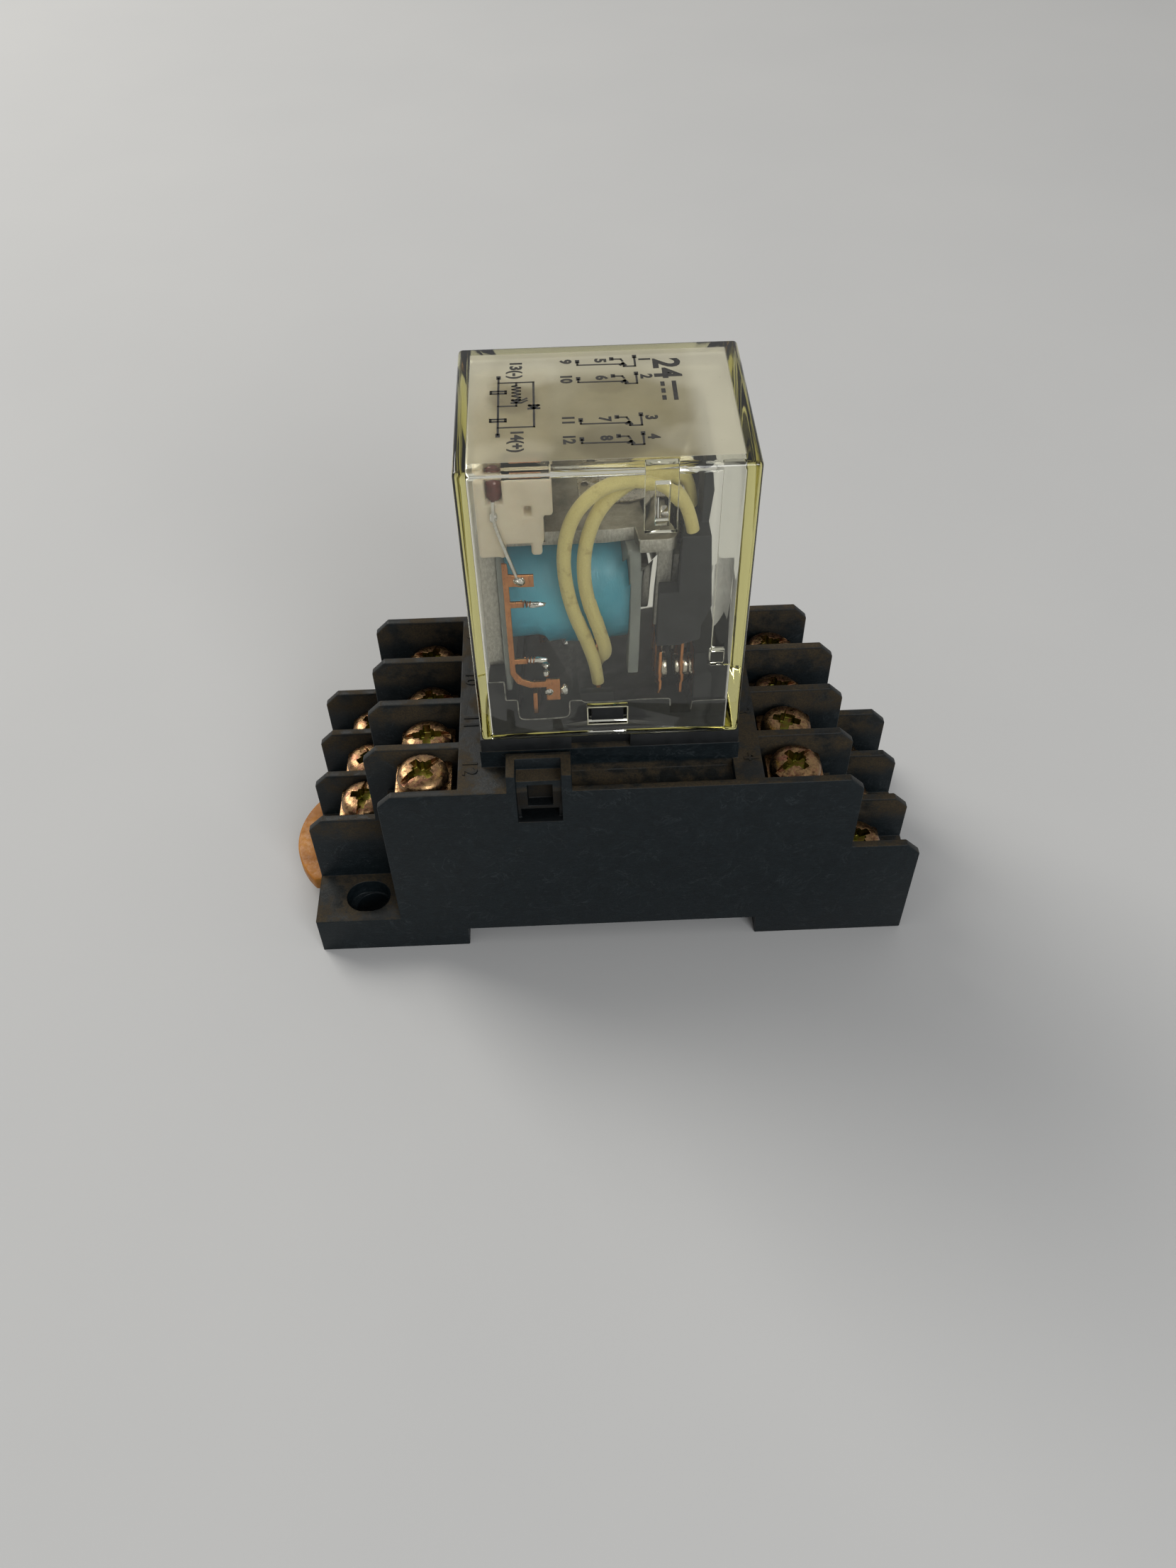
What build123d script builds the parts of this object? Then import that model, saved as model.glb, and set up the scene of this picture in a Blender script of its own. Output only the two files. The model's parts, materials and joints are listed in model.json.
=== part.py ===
from build123d import *
import os
from math import cos, radians, sin

os.makedirs("parts", exist_ok=True)

# Four-pole plug-in relay seated in its screw-terminal socket for a 35 mm rail. Millimetres.
# Origin: on the rail's centreline at mid-width, level with the socket's feet.
# +X along the socket, across the rail. +Y along the rail. +Z up, away from the rail.

# ---- Socket ----
HALF_LENGTH, HALF_WIDTH = 36.0, 14.75       # 72 x 29.5 footprint
DECK_HALF, DECK_TOP = 16.85, 28.1           # the raised middle that the relay plugs into
PEDESTAL_X, PEDESTAL_Y, PEDESTAL_TOP = 14.2, 10.75, 30.6
UPPER_REACH, SHORT_REACH = 27.8, 25.7       # outer ends of the upper barriers
UPPER_FLOOR, LOWER_FLOOR = 21.4, 9.3        # plastic under the two rows of terminals
LOWER_TOP, FOOT_TOP = 16.3, 5.8
BARRIER = 0.95                              # thickness of the walls between terminals
UPPER_CHAMFER, LOWER_CHAMFER = 1.6, 1.7
RAIL_HALF, RAIL_DEPTH = 17.75, 3.2          # 35.5 mm channel for a 35 mm rail
CAVITY_X, CAVITY_Y, CAVITY_TOP = 13.0, 12.2, 26.4
PITCH = (2 * HALF_WIDTH - BARRIER) / 4      # from one terminal bay to the next
BAYS = [PITCH * (bay - 1.5) for bay in range(4)]

# ---- Terminals ----
UPPER_X, LOWER_X = 20.8, 29.5               # screw axes
PLATE = 0.8                                 # thickness of the contact strips
WASHER_X, WASHER_Y, WASHER = 6.3, 5.6, 0.7
HEAD_RADIUS, HEAD_HEIGHT, SHANK_RADIUS, SHANK_LENGTH = 2.9, 2.0, 1.45, 5.8
SCREW_CLEARANCE = 0.05
# how far each screw is backed out, and how its slot stands: right upper, right lower, left upper, left lower
SCREW_RISE = [2.5, 1.6, 0.0, 0.4, 0.8, 0.2, 0.0, 3.4, 1.4, 0.0, 0.3, 3.5, 2.6, 1.5]
SLOT_ANGLE = [36, 70, 15, 20, 110, 50, 140, 40, 3, 12, 160, 82, 122, 60]
LATCH_HALF, LATCH_LOW, LATCH_HIGH, LATCH_TRAVEL = 7.0, 2.3, 4.3, 3.0
FIT_GAP = 0.1                               # around sliding and loose pieces
WELL_DEPTH = SHANK_LENGTH - PLATE - WASHER + 0.2    # under each screw

# ---- Relay ----
FLANGE_X, FLANGE_Y, FLANGE_TOP = 14.0, 10.7, 32.4
COVER_X, COVER_Y, COVER_TOP, COVER_WALL = 13.9, 10.65, 66.4, 1.0
BASE_X, BASE_Y = 12.85, 9.6
POLES = [-6.6, -2.2, 2.2, 6.6]              # the four contact columns
COIL_POLES = [-6.6, 6.6]
NC_X, NO_X, COM_X, COIL_X = 10.1, 6.0, -1.0, -8.0
PIN_WIDTH, PIN_THICKNESS, PIN_TIP = 2.6, 0.5, 24.2
HINGE_X, HINGE_Z = 5.4, 56.2                # where the armature rocks on the yoke
COIL_Z, COIL_RADIUS = 48.0, 6.8
CONTACT_Z = 40.0


def block(x_span, y_span, z_span, mode=Mode.ADD):
    """A box between two limits on each axis."""
    spans = (x_span, y_span, z_span)
    with Locations(tuple(sum(span) / 2 for span in spans)):
        Box(*(abs(span[1] - span[0]) for span in spans), mode=mode)


def about(centre, width):
    """The two limits of a width centred on a coordinate."""
    return (centre - width / 2, centre + width / 2)


def side_profile(points, y_span, mode=Mode.ADD):
    """An outline in X and Z, carried across Y."""
    low, high = min(y_span), max(y_span)
    with BuildSketch(Plane.XZ.offset(-high)) as outline:
        with BuildLine():
            Polyline(*points, close=True)
        make_face()
    extrude(outline.sketch, amount=high - low, mode=mode)


def rod(start, radius, length, direction, mode=Mode.ADD):
    """A round bar from a point, along a direction."""
    with BuildSketch(Plane(origin=start, z_dir=direction)) as disc:
        Circle(radius)
    extrude(disc.sketch, amount=length, mode=mode)


def tube(points, radii, radius):
    """A round wire along straight runs joined by arcs."""
    with BuildLine() as route:
        FilletPolyline(*points, radius=radii)
    with BuildSketch(Plane(origin=route.line @ 0, z_dir=route.line % 0)) as section:
        Circle(radius)
    sweep(section.sketch, path=route.line)


def save(builder, name):
    builder.part.label = name
    export_step(builder.part, f"parts/{name}.step")


# ---------------------------------------------------------------- socket housing


def barrier_outline(side, full):
    """A terminal wall: its upper step, and its lower step where there is a lower terminal."""
    if full:
        outer = [
            (HALF_LENGTH, 0),
            (HALF_LENGTH, LOWER_TOP - LOWER_CHAMFER),
            (HALF_LENGTH - LOWER_CHAMFER, LOWER_TOP),
            (UPPER_REACH, LOWER_TOP),
            (UPPER_REACH, DECK_TOP - UPPER_CHAMFER),
            (UPPER_REACH - UPPER_CHAMFER, DECK_TOP),
        ]
    else:
        outer = [
            (SHORT_REACH, 0),
            (SHORT_REACH, DECK_TOP - UPPER_CHAMFER),
            (SHORT_REACH - UPPER_CHAMFER, DECK_TOP),
        ]
    inner = RAIL_HALF - 2.0
    return [(side * x, z) for x, z in [(inner, 0)] + outer + [(inner, DECK_TOP)]]


def wall_back(index):
    """Back face of a barrier, counted from the front."""
    return -HALF_WIDTH + BARRIER + index * PITCH


LOWER_END = wall_back(3)                    # lower terminals stop here; the mounting foot follows


def half_socket(side):
    """Steps, barriers and mounting foot of one end. The other end is the same turned half round."""
    block((side * 12, side * SHORT_REACH), (-HALF_WIDTH, HALF_WIDTH), (0, UPPER_FLOOR))
    lower_y = (-side * HALF_WIDTH, side * LOWER_END)
    block((side * SHORT_REACH, side * HALF_LENGTH), lower_y, (0, LOWER_FLOOR))
    foot_y = (side * LOWER_END, side * HALF_WIDTH)
    block((side * SHORT_REACH, side * HALF_LENGTH), foot_y, (0, FOOT_TOP))
    for index in range(5):
        back = wall_back(index)
        side_profile(barrier_outline(side, index < 4), (side * back, side * (back - BARRIER)))


def terminal_wells(side, x, floor, bays):
    """Clearance under each terminal screw."""
    for bay in bays:
        rod((side * x, side * bay, floor), SHANK_RADIUS + 0.25, WELL_DEPTH, (0, 0, -1), Mode.SUBTRACT)


def strip_slots(side, reach, level, bays):
    """Passages from the inner cavity to a row of terminals, exactly as wide as the strips."""
    for bay in bays:
        block(
            (side * (CAVITY_X - 1), side * reach), about(side * bay, 2.0), (level, level + PLATE), Mode.SUBTRACT
        )


HOLE_X, HOLE_Y, HOLE_RADIUS = 29.5, 11.0, 2.05     # mounting holes on 59 x 22 mm centres


def mounting_hole(side):
    """A round hole through the foot, with a longer dish above it."""
    rod((side * HOLE_X, side * HOLE_Y, -1), HOLE_RADIUS, FOOT_TOP + 2, (0, 0, 1), Mode.SUBTRACT)
    with BuildSketch(Plane.XY.offset(FOOT_TOP - 2.2)) as dish:
        with Locations((side * (HOLE_X + 0.35), side * HOLE_Y)):
            SlotOverall(5.3, 4.5)
    extrude(dish.sketch, amount=3, mode=Mode.SUBTRACT)


CLIP_BLOCK_X = (-11.4, -4.3)                # guide for a hold-down clip, on the front edge
CLIP_CHANNEL_X = (-10.4, -5.45)
CLIP_EYE_X = (-9.2, -6.45)


def clip_guide(side):
    """Block, channel and square eye of a hold-down clip. The back one is turned half round."""
    face = -HALF_WIDTH
    x_block, x_channel, x_eye = ([side * x for x in span] for span in (CLIP_BLOCK_X, CLIP_CHANNEL_X, CLIP_EYE_X))
    block(x_block, (side * face, side * -11.2), (DECK_TOP, 30.7))
    block(x_channel, (side * face, side * -13.9), (23.1, 30.8), Mode.SUBTRACT)
    block(x_channel, (side * -13.95, side * -12.1), (29.0, 30.8), Mode.SUBTRACT)
    block(x_eye, (side * -14.0, side * -12.6), (24.9, 28.3), Mode.SUBTRACT)
    block([side * x for x in (-10.0, -5.85)], (side * -14.0, side * -12.6), (23.1, 24.4), Mode.SUBTRACT)


def deck_recess(side):
    """Shallow tray in the deck beside the clip guide."""
    block((side * -4.3, side * 13.6), (side * -13.9, side * -PEDESTAL_Y), (27.0, DECK_TOP), Mode.SUBTRACT)


def pin_slots():
    """Slots in the pedestal for the relay's blades."""
    for x, poles in ((NC_X, POLES), (NO_X, POLES), (COM_X, POLES), (COIL_X, COIL_POLES)):
        for pole in poles:
            block(about(x, 1.0), about(pole, 3.2), (29.0, PEDESTAL_TOP), Mode.SUBTRACT)


with BuildPart() as socket_housing:
    block((-DECK_HALF, DECK_HALF), (-HALF_WIDTH, HALF_WIDTH), (RAIL_DEPTH, DECK_TOP))
    block((-PEDESTAL_X, PEDESTAL_X), (-PEDESTAL_Y, PEDESTAL_Y), (DECK_TOP, PEDESTAL_TOP))
    for end in (1, -1):
        half_socket(end)
        clip_guide(end)
        deck_recess(end)
    block((-CAVITY_X, CAVITY_X), (-CAVITY_Y, CAVITY_Y), (0, CAVITY_TOP), Mode.SUBTRACT)
    block((-CAVITY_X, CAVITY_X), (-9.2, 9.2), (CAVITY_TOP, 29.3), Mode.SUBTRACT)
    block((-RAIL_HALF, RAIL_HALF), (-20, 20), (-1, RAIL_DEPTH), Mode.SUBTRACT)
    for end in (1, -1):
        terminal_wells(end, UPPER_X, UPPER_FLOOR, BAYS)
        terminal_wells(end, LOWER_X, LOWER_FLOOR, BAYS[:3])
        strip_slots(end, UPPER_X, UPPER_FLOOR, BAYS)
        strip_slots(end, LOWER_X, LOWER_FLOOR, BAYS[:3])
        mounting_hole(end)
    # fixed rail lip on the right, under the rail's edge
    side_profile([(RAIL_HALF, 0), (RAIL_HALF - 1.1, 0.3), (RAIL_HALF - 1.1, 1.1), (RAIL_HALF, 1.9)], (-9, 9))
    # passage for the rail latch on the left
    block((-HALF_LENGTH - 1, -RAIL_HALF + 1), about(0, 2 * (LATCH_HALF + FIT_GAP)),
          (LATCH_LOW - FIT_GAP, LATCH_HIGH + FIT_GAP), Mode.SUBTRACT)
    block((-RAIL_HALF - LATCH_TRAVEL - 1.1, -RAIL_HALF + 1), (-4.1, 4.1), (-1, LATCH_HIGH), Mode.SUBTRACT)
    pin_slots()
save(socket_housing, "socket_housing")

with BuildPart() as socket_bottom_cover:
    cover_spans = [(-span + FIT_GAP, span - FIT_GAP) for span in (CAVITY_X, CAVITY_Y)]
    block(*cover_spans, (RAIL_DEPTH, RAIL_DEPTH + 1.2))
    for post_x in (-11, 11):
        for post_y in (-10.4, 10.4):
            rod((post_x, post_y, RAIL_DEPTH + 1.2), 0.9, 2.5, (0, 0, 1))
save(socket_bottom_cover, "socket_bottom_cover")

# ---------------------------------------------------------------- rail latch

with BuildPart() as rail_latch:
    # tongue, with a rounded thumb tab that stands out past the end of the socket
    block((-37.2, -24.0), (-LATCH_HALF, LATCH_HALF), (LATCH_LOW, LATCH_HIGH))
    with BuildSketch(Plane.XY.offset(LATCH_LOW)) as tab:
        with BuildLine():
            ThreePointArc((-37.2, LATCH_HALF), (-40.0, 0), (-37.2, -LATCH_HALF))
            Line((-37.2, -LATCH_HALF), (-37.2, LATCH_HALF))
        make_face()
    extrude(tab.sketch, amount=LATCH_HIGH - LATCH_LOW)
    with Locations((-35.0, 0, LATCH_HIGH)):
        Box(3.2, 6.0, 8, mode=Mode.SUBTRACT)
    # nose that catches under the rail's edge
    block((-24.5, -RAIL_HALF - 0.2), (-4, 4), (LATCH_LOW, LATCH_HIGH))
    side_profile(
        [(-RAIL_HALF - 0.8, LATCH_HIGH), (-RAIL_HALF - 0.8, 0.4), (-RAIL_HALF - 0.1, 0.4),
         (-RAIL_HALF + 0.9, 1.2), (-RAIL_HALF + 0.9, 2.0), (-RAIL_HALF - 0.2, 2.0), (-RAIL_HALF - 0.2, LATCH_HIGH)],
        (-4, 4),
    )
save(rail_latch, "rail_latch")

with BuildPart() as rail_latch_spring:
    # two moulded leaf arms beside the nose that press on the housing
    for side in (1, -1):
        with BuildSketch(Plane.XY.offset(LATCH_LOW + 0.3)) as arm:
            with BuildLine() as arm_line:
                Polyline((-24.5, side * 6.4), (-22.4, side * 5.6), (-20.6, side * 6.6), (-18.9, side * 5.6))
            trace(arm_line.line, line_width=0.6)
        extrude(arm.sketch, amount=1.4)
    add(rail_latch.part, mode=Mode.SUBTRACT)
save(rail_latch_spring, "rail_latch_spring")

# ---------------------------------------------------------------- contact strips in the socket


def blade_clip(x, pole, low):
    """Two spring leaves that grip a relay blade, standing on a small foot."""
    for leaf in (1, -1):
        block((x + leaf * 0.3, x + leaf * 0.75), about(pole, 2.8), (low, 28.8))
    block((x - 0.75, x + 0.75), about(pole, 2.8), (low, low + 0.8))


def jog(x, start, end, level):
    """The cross-piece of a strip, from the blade's column to the terminal's bay."""
    low, high = min(start, end) - 1.0, max(start, end) + 1.0
    block((x - 1.0, x + 1.0), (low, high), (level, level + PLATE))


def terminal_plate(side, x, bay, top):
    """The screw's landing, with its hole."""
    block((side * (x - 3.6), side * (x + 3.6)), about(bay, 5.4), (top - PLATE, top))
    rod((side * x, bay, top + 1), SHANK_RADIUS + SCREW_CLEARANCE, 3, (0, 0, -1), Mode.SUBTRACT)


def run(start, end, bay, level):
    """A 2 mm wide straight run of strip along X."""
    block((start, end), about(bay, 2.0), (level, level + PLATE))


CLIP_LOW = UPPER_FLOOR
with BuildPart() as contact_strips_upper:
    for pole, bay in zip(POLES, BAYS):
        # normally-closed poles, to the right
        blade_clip(NC_X, pole, CLIP_LOW)
        jog(NC_X, pole, bay, CLIP_LOW)
        run(NC_X + 0.4, UPPER_X - 3.0, bay, UPPER_FLOOR)
        terminal_plate(1, UPPER_X, bay, UPPER_FLOOR + PLATE)
        # common poles, to the left, between the coil clips
        blade_clip(COM_X, pole, CLIP_LOW)
        jog(COM_X, pole, bay, CLIP_LOW)
        run(COM_X, -UPPER_X + 3.0, bay, UPPER_FLOOR)
        terminal_plate(-1, UPPER_X, bay, UPPER_FLOOR + PLATE)
save(contact_strips_upper, "contact_strips_upper")


def lower_strip(x, pole, bay, level):
    """Clip, riser and cross-piece of a strip that serves a lower terminal."""
    blade_clip(x, pole, CLIP_LOW)
    block((x - 0.3, x + 0.3), about(pole, 2.0), (level, CLIP_LOW))
    jog(x, pole, bay, level)


CROSSING_Z = LOWER_FLOOR - PLATE - 0.6
with BuildPart() as contact_strips_lower:
    for pole, bay in zip(POLES[:3], BAYS[:3]):
        lower_strip(NO_X, pole, bay, LOWER_FLOOR)
        run(NO_X, LOWER_X - 3.0, bay, LOWER_FLOOR)
        terminal_plate(1, LOWER_X, bay, LOWER_FLOOR + PLATE)
    for pole, bay in ((COIL_POLES[0], BAYS[1]), (COIL_POLES[1], BAYS[3])):
        lower_strip(COIL_X, pole, bay, LOWER_FLOOR)
        run(COIL_X, -LOWER_X + 3.0, bay, LOWER_FLOOR)
        terminal_plate(-1, LOWER_X, bay, LOWER_FLOOR + PLATE)
    # the fourth normally-open pole crosses to the left under the others
    lower_strip(NO_X, POLES[3], BAYS[2], CROSSING_Z)
    run(NO_X, -12.4, BAYS[2], CROSSING_Z)
    block((-12.4, -11.8), about(BAYS[2], 2.0), (CROSSING_Z, LOWER_FLOOR + PLATE))
    run(-12.4, -LOWER_X + 3.0, BAYS[2], LOWER_FLOOR)
    terminal_plate(-1, LOWER_X, BAYS[2], LOWER_FLOOR + PLATE)
save(contact_strips_lower, "contact_strips_lower")

# ---------------------------------------------------------------- terminal screws and washers

TERMINALS = (
    [(UPPER_X, bay, UPPER_FLOOR + PLATE) for bay in BAYS]
    + [(LOWER_X, bay, LOWER_FLOOR + PLATE) for bay in BAYS[:3]]
    + [(-UPPER_X, bay, UPPER_FLOOR + PLATE) for bay in BAYS]
    + [(-LOWER_X, bay, LOWER_FLOOR + PLATE) for bay in BAYS[1:]]
)

for number, ((x, y, plate_top), rise, slot_angle) in enumerate(zip(TERMINALS, SCREW_RISE, SLOT_ANGLE), start=1):
    z = plate_top + rise
    with BuildPart() as washer:
        with BuildSketch(Plane.XY.offset(z)):
            with Locations((x, y)):
                RectangleRounded(WASHER_X, WASHER_Y, 0.5)
                Circle(SHANK_RADIUS + SCREW_CLEARANCE, mode=Mode.SUBTRACT)
        extrude(amount=WASHER)
    save(washer, f"terminal_washer_{number:02d}")

    seat = z + WASHER
    with BuildPart() as screw:
        # pan head: a disc with a round over its top edge
        with BuildSketch(Plane.XY.offset(seat)):
            with Locations((x, y)):
                Circle(HEAD_RADIUS)
        extrude(amount=HEAD_HEIGHT)
        fillet(screw.edges().sort_by(Axis.Z)[-1], radius=0.9)
        with BuildSketch(Plane.XY.offset(seat)):
            with Locations((x, y)):
                Circle(SHANK_RADIUS)
        extrude(amount=-SHANK_LENGTH)
        # a slot from rim to rim, and a deeper cross at the middle
        for length, depth, turn in ((6.0, 0.75, 0), (3.3, 1.3, 0), (3.3, 1.3, 90)):
            with BuildSketch(Plane.XY.offset(seat + HEAD_HEIGHT)):
                with Locations(Location((x, y, 0), slot_angle + turn)):
                    Rectangle(length, 0.85)
            extrude(amount=-depth, mode=Mode.SUBTRACT)
    save(screw, f"terminal_screw_{number:02d}")

# ---------------------------------------------------------------- relay terminals


def blade(x, poles, low, high):
    """Flat blades, one in each column."""
    for pole in poles:
        block(about(x, PIN_THICKNESS), about(pole, PIN_WIDTH), (low, high))


JOG_Z = 33.2
with BuildPart() as nc_terminals:
    blade(NC_X, POLES, PIN_TIP, JOG_Z + 0.3)
    for pole in POLES:
        block((8.95, NC_X + 0.25), about(pole, PIN_WIDTH), (JOG_Z, JOG_Z + 0.3))
        block((8.95, 9.25), about(pole, PIN_WIDTH), (JOG_Z, 42.6))
save(nc_terminals, "nc_terminals")

with BuildPart() as no_terminals:
    blade(NO_X, POLES, PIN_TIP, JOG_Z + 0.3)
    for pole in POLES:
        block((5.3, NO_X + 0.25), about(pole, PIN_WIDTH), (JOG_Z, JOG_Z + 0.3))
        block((5.3, 5.6), about(pole, PIN_WIDTH), (JOG_Z, 42.6))
save(no_terminals, "no_terminals")

with BuildPart() as com_terminals:
    blade(COM_X, POLES, PIN_TIP, 38.0)
save(com_terminals, "com_terminals")

with BuildPart() as coil_terminals:
    blade(COIL_X, COIL_POLES, PIN_TIP, 37.4)
save(coil_terminals, "coil_terminals")

with BuildPart() as fixed_contacts:
    for pole in POLES:
        rod((5.6, pole, CONTACT_Z), 1.45, 0.6, (1, 0, 0))
        rod((8.95, pole, CONTACT_Z), 1.2, 0.45, (-1, 0, 0))
save(fixed_contacts, "fixed_contacts")

# ---------------------------------------------------------------- relay base

BASE_PROFILE = [
    (-BASE_X, FLANGE_TOP), (-BASE_X, 40.2), (-10.9, 40.2), (-10.9, 37.5), (-9.67, 37.5), (-9.67, 34.5),
    (-4.3, 34.5), (-4.3, 37.0), (6.5, 37.0), (6.5, 34.8), (8.7, 34.8), (8.7, 36.5), (BASE_X, 36.5),
    (BASE_X, FLANGE_TOP),
]

with BuildPart() as relay_base:
    block((-FLANGE_X, FLANGE_X), (-FLANGE_Y, FLANGE_Y), (PEDESTAL_TOP, FLANGE_TOP))
    side_profile(BASE_PROFILE, (-BASE_Y, BASE_Y))
    for side in (1, -1):
        # notch in the flange and snap lug in the cover's window
        block((-4.16, 2.24), (side * FLANGE_Y, side * (FLANGE_Y - 0.8)), (PEDESTAL_TOP, FLANGE_TOP), Mode.SUBTRACT)
        block((-1.9, 1.5), (side * (BASE_Y - 0.5), side * (BASE_Y + 0.65)), (34.4, 36.1))
        # tower that carries the common terminals
        block((-3.1, 0.5), (side * 9.2, side * 7.95), (36.9, 38.2))
    # backstop that holds the normally-closed contacts
    block((8.95, 10.2), (-8.6, 8.6), (36.3, 42.8))
    block((10.1, BASE_X), (-8.6, 8.6), (36.4, 41.2))
    for terminals in (nc_terminals, no_terminals, com_terminals, coil_terminals):
        add(terminals.part, mode=Mode.SUBTRACT)
save(relay_base, "relay_base")

# ---------------------------------------------------------------- clear cover

INNER_X, INNER_Y = COVER_X - COVER_WALL, COVER_Y - COVER_WALL
with BuildPart() as dust_cover:
    block((-COVER_X, COVER_X), (-COVER_Y, COVER_Y), (FLANGE_TOP, COVER_TOP))
    fillet(dust_cover.edges().filter_by(Axis.Z), radius=0.5)
    fillet(dust_cover.faces().sort_by(Axis.Z)[-1].edges(), radius=0.45)
    block((-INNER_X, INNER_X), (-INNER_Y, INNER_Y), (FLANGE_TOP, COVER_TOP - COVER_WALL), Mode.SUBTRACT)
    for side in (1, -1):
        # snap windows in the long walls
        block((-2.4, 2.0), (side * 9, side * 11), (34.0, 36.7), Mode.SUBTRACT)
    # inner guides on the front wall
    block((3.4, 6.45), (-INNER_Y, -8.6), (58.5, COVER_TOP - COVER_WALL))
    block((10.4, INNER_X), (-INNER_Y, -9.0), (41.5, COVER_TOP - COVER_WALL))
    block((10.4, 11.8), (-INNER_Y, -8.3), (41.5, 43.2))
save(dust_cover, "dust_cover")

# ---------------------------------------------------------------- magnet: yoke, core, bobbin, winding

YOKE_Y = 6.3
with BuildPart() as yoke:
    block((-12.6, -11.0), (-YOKE_Y, YOKE_Y), (40.25, 57.2))
    block((-12.6, 4.3), (-YOKE_Y, YOKE_Y), (55.6, 57.2))
    for side in (1, -1):
        # ears that carry the armature
        block((3.0, 6.5), (side * (YOKE_Y - 0.1), side * 8.3), (55.6, 57.2))
    fillet(yoke.edges().filter_by(Axis.X).group_by(Axis.Z)[0], radius=1.2)
    fillet(yoke.edges().filter_by(Axis.Z).group_by(Axis.X)[-1].sort_by(Axis.Y)[0], radius=1.0)
    fillet(yoke.edges().filter_by(Axis.Z).group_by(Axis.X)[-1].sort_by(Axis.Y)[-1], radius=1.0)
    rod((-13, 0, COIL_Z), 1.8, 3, (1, 0, 0), Mode.SUBTRACT)
save(yoke, "yoke")

with BuildPart() as core:
    rod((-12.6, 0, COIL_Z), 1.8, 1.6, (1, 0, 0))
    rod((-11.0, 0, COIL_Z), 2.9, 14.2, (1, 0, 0))
    rod((3.2, 0, COIL_Z), 3.8, 0.85, (1, 0, 0))
save(core, "core")

with BuildPart() as bobbin:
    block((-10.85, -10.3), (-7.7, 7.7), (37.7, 55.5))
    block((2.1, 3.2), (-7.7, 7.7), (39.8, 55.5))
    fillet(bobbin.edges().filter_by(Axis.X).group_by(Axis.Z)[0], radius=0.6)
    rod((-10.4, 0, COIL_Z), 3.9, 12.6, (1, 0, 0))
    rod((-11.5, 0, COIL_Z), 2.95, 16, (1, 0, 0), Mode.SUBTRACT)
save(bobbin, "bobbin")


def sleeve(inner, outer, x_start, x_end):
    """A round sleeve about the coil's axis."""
    rod((x_start, 0, COIL_Z), outer, x_end - x_start, (1, 0, 0))
    rod((x_start, 0, COIL_Z), inner, x_end - x_start, (1, 0, 0), Mode.SUBTRACT)


with BuildPart() as coil_winding:
    sleeve(3.95, 6.4, -10.2, 2.0)
save(coil_winding, "coil_winding")

with BuildPart() as coil_tape:
    sleeve(6.45, COIL_RADIUS, -10.25, 2.05)
save(coil_tape, "coil_tape")

# ---------------------------------------------------------------- moving side

ARMATURE_Y, CARD_Y = 6.0, 8.3
with BuildPart() as armature:
    block((4.6, 6.2), (-ARMATURE_Y, ARMATURE_Y), (45.0, 56.9))
    fillet(armature.edges().filter_by(Axis.Y).group_by(Axis.Z)[-1], radius=0.5)
    block((6.2, 6.9), (-4.8, -2.8), (47.2, 53.0))
    block((6.2, 6.9), (2.8, 4.8), (47.2, 53.0))
save(armature, "armature")

CARD_PROFILE = [
    (6.9, 46.0), (7.15, 43.7), (9.4, 44.4), (9.4, 46.1), (10.4, 48.7), (9.9, 57.3), (6.9, 57.3),
]
SPRING_X, SPRING_THICKNESS, SPRING_LOW = 7.7, 0.3, 36.95
with BuildPart() as moving_springs:
    for pole in POLES:
        block(about(SPRING_X, SPRING_THICKNESS), about(pole, 2.6), (SPRING_LOW, 57.2))
        rod((SPRING_X - 1, pole, CONTACT_Z), 0.5, 2, (1, 0, 0), Mode.SUBTRACT)
save(moving_springs, "moving_springs")

with BuildPart() as moving_contacts:
    for pole in POLES:
        rod((7.05, pole, CONTACT_Z), 1.2, 0.5, (1, 0, 0))
        rod((7.55, pole, CONTACT_Z), 0.5, 0.3, (1, 0, 0))
        rod((7.85, pole, CONTACT_Z), 1.2, 0.6, (1, 0, 0))
save(moving_contacts, "moving_contacts")

with BuildPart() as contact_carrier:
    side_profile(CARD_PROFILE, (-CARD_Y, CARD_Y))
    # cheeks and sill that hold the armature's free end
    block((4.9, 7.4), (-CARD_Y, CARD_Y), (43.7, 44.9))
    for side in (1, -1):
        block((4.9, 7.4), (side * (ARMATURE_Y + 0.1), side * CARD_Y), (43.7, 50.6))
    # raised back of the card, above the springs
    side_profile([(8.95, 57.3), (9.9, 57.3), (10.3, 60.8), (9.95, 63.5), (9.1, 63.5)], (-6.0, 6.0))
    add(moving_springs.part, mode=Mode.SUBTRACT)
save(contact_carrier, "contact_carrier")

with BuildPart() as return_spring:
    # leaf on the yoke that bends down over the armature's back
    block((-2.0, 6.6), (-2.0, 2.0), (57.25, 57.5))
    block((6.4, 6.6), (-2.0, 2.0), (52.4, 57.5))
    for spring_hole_y in (-1.0, 1.0):
        rod((-1.2, spring_hole_y, 57), 0.4, 1, (0, 0, 1), Mode.SUBTRACT)
save(return_spring, "return_spring")

# ---------------------------------------------------------------- indicator and small parts

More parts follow.
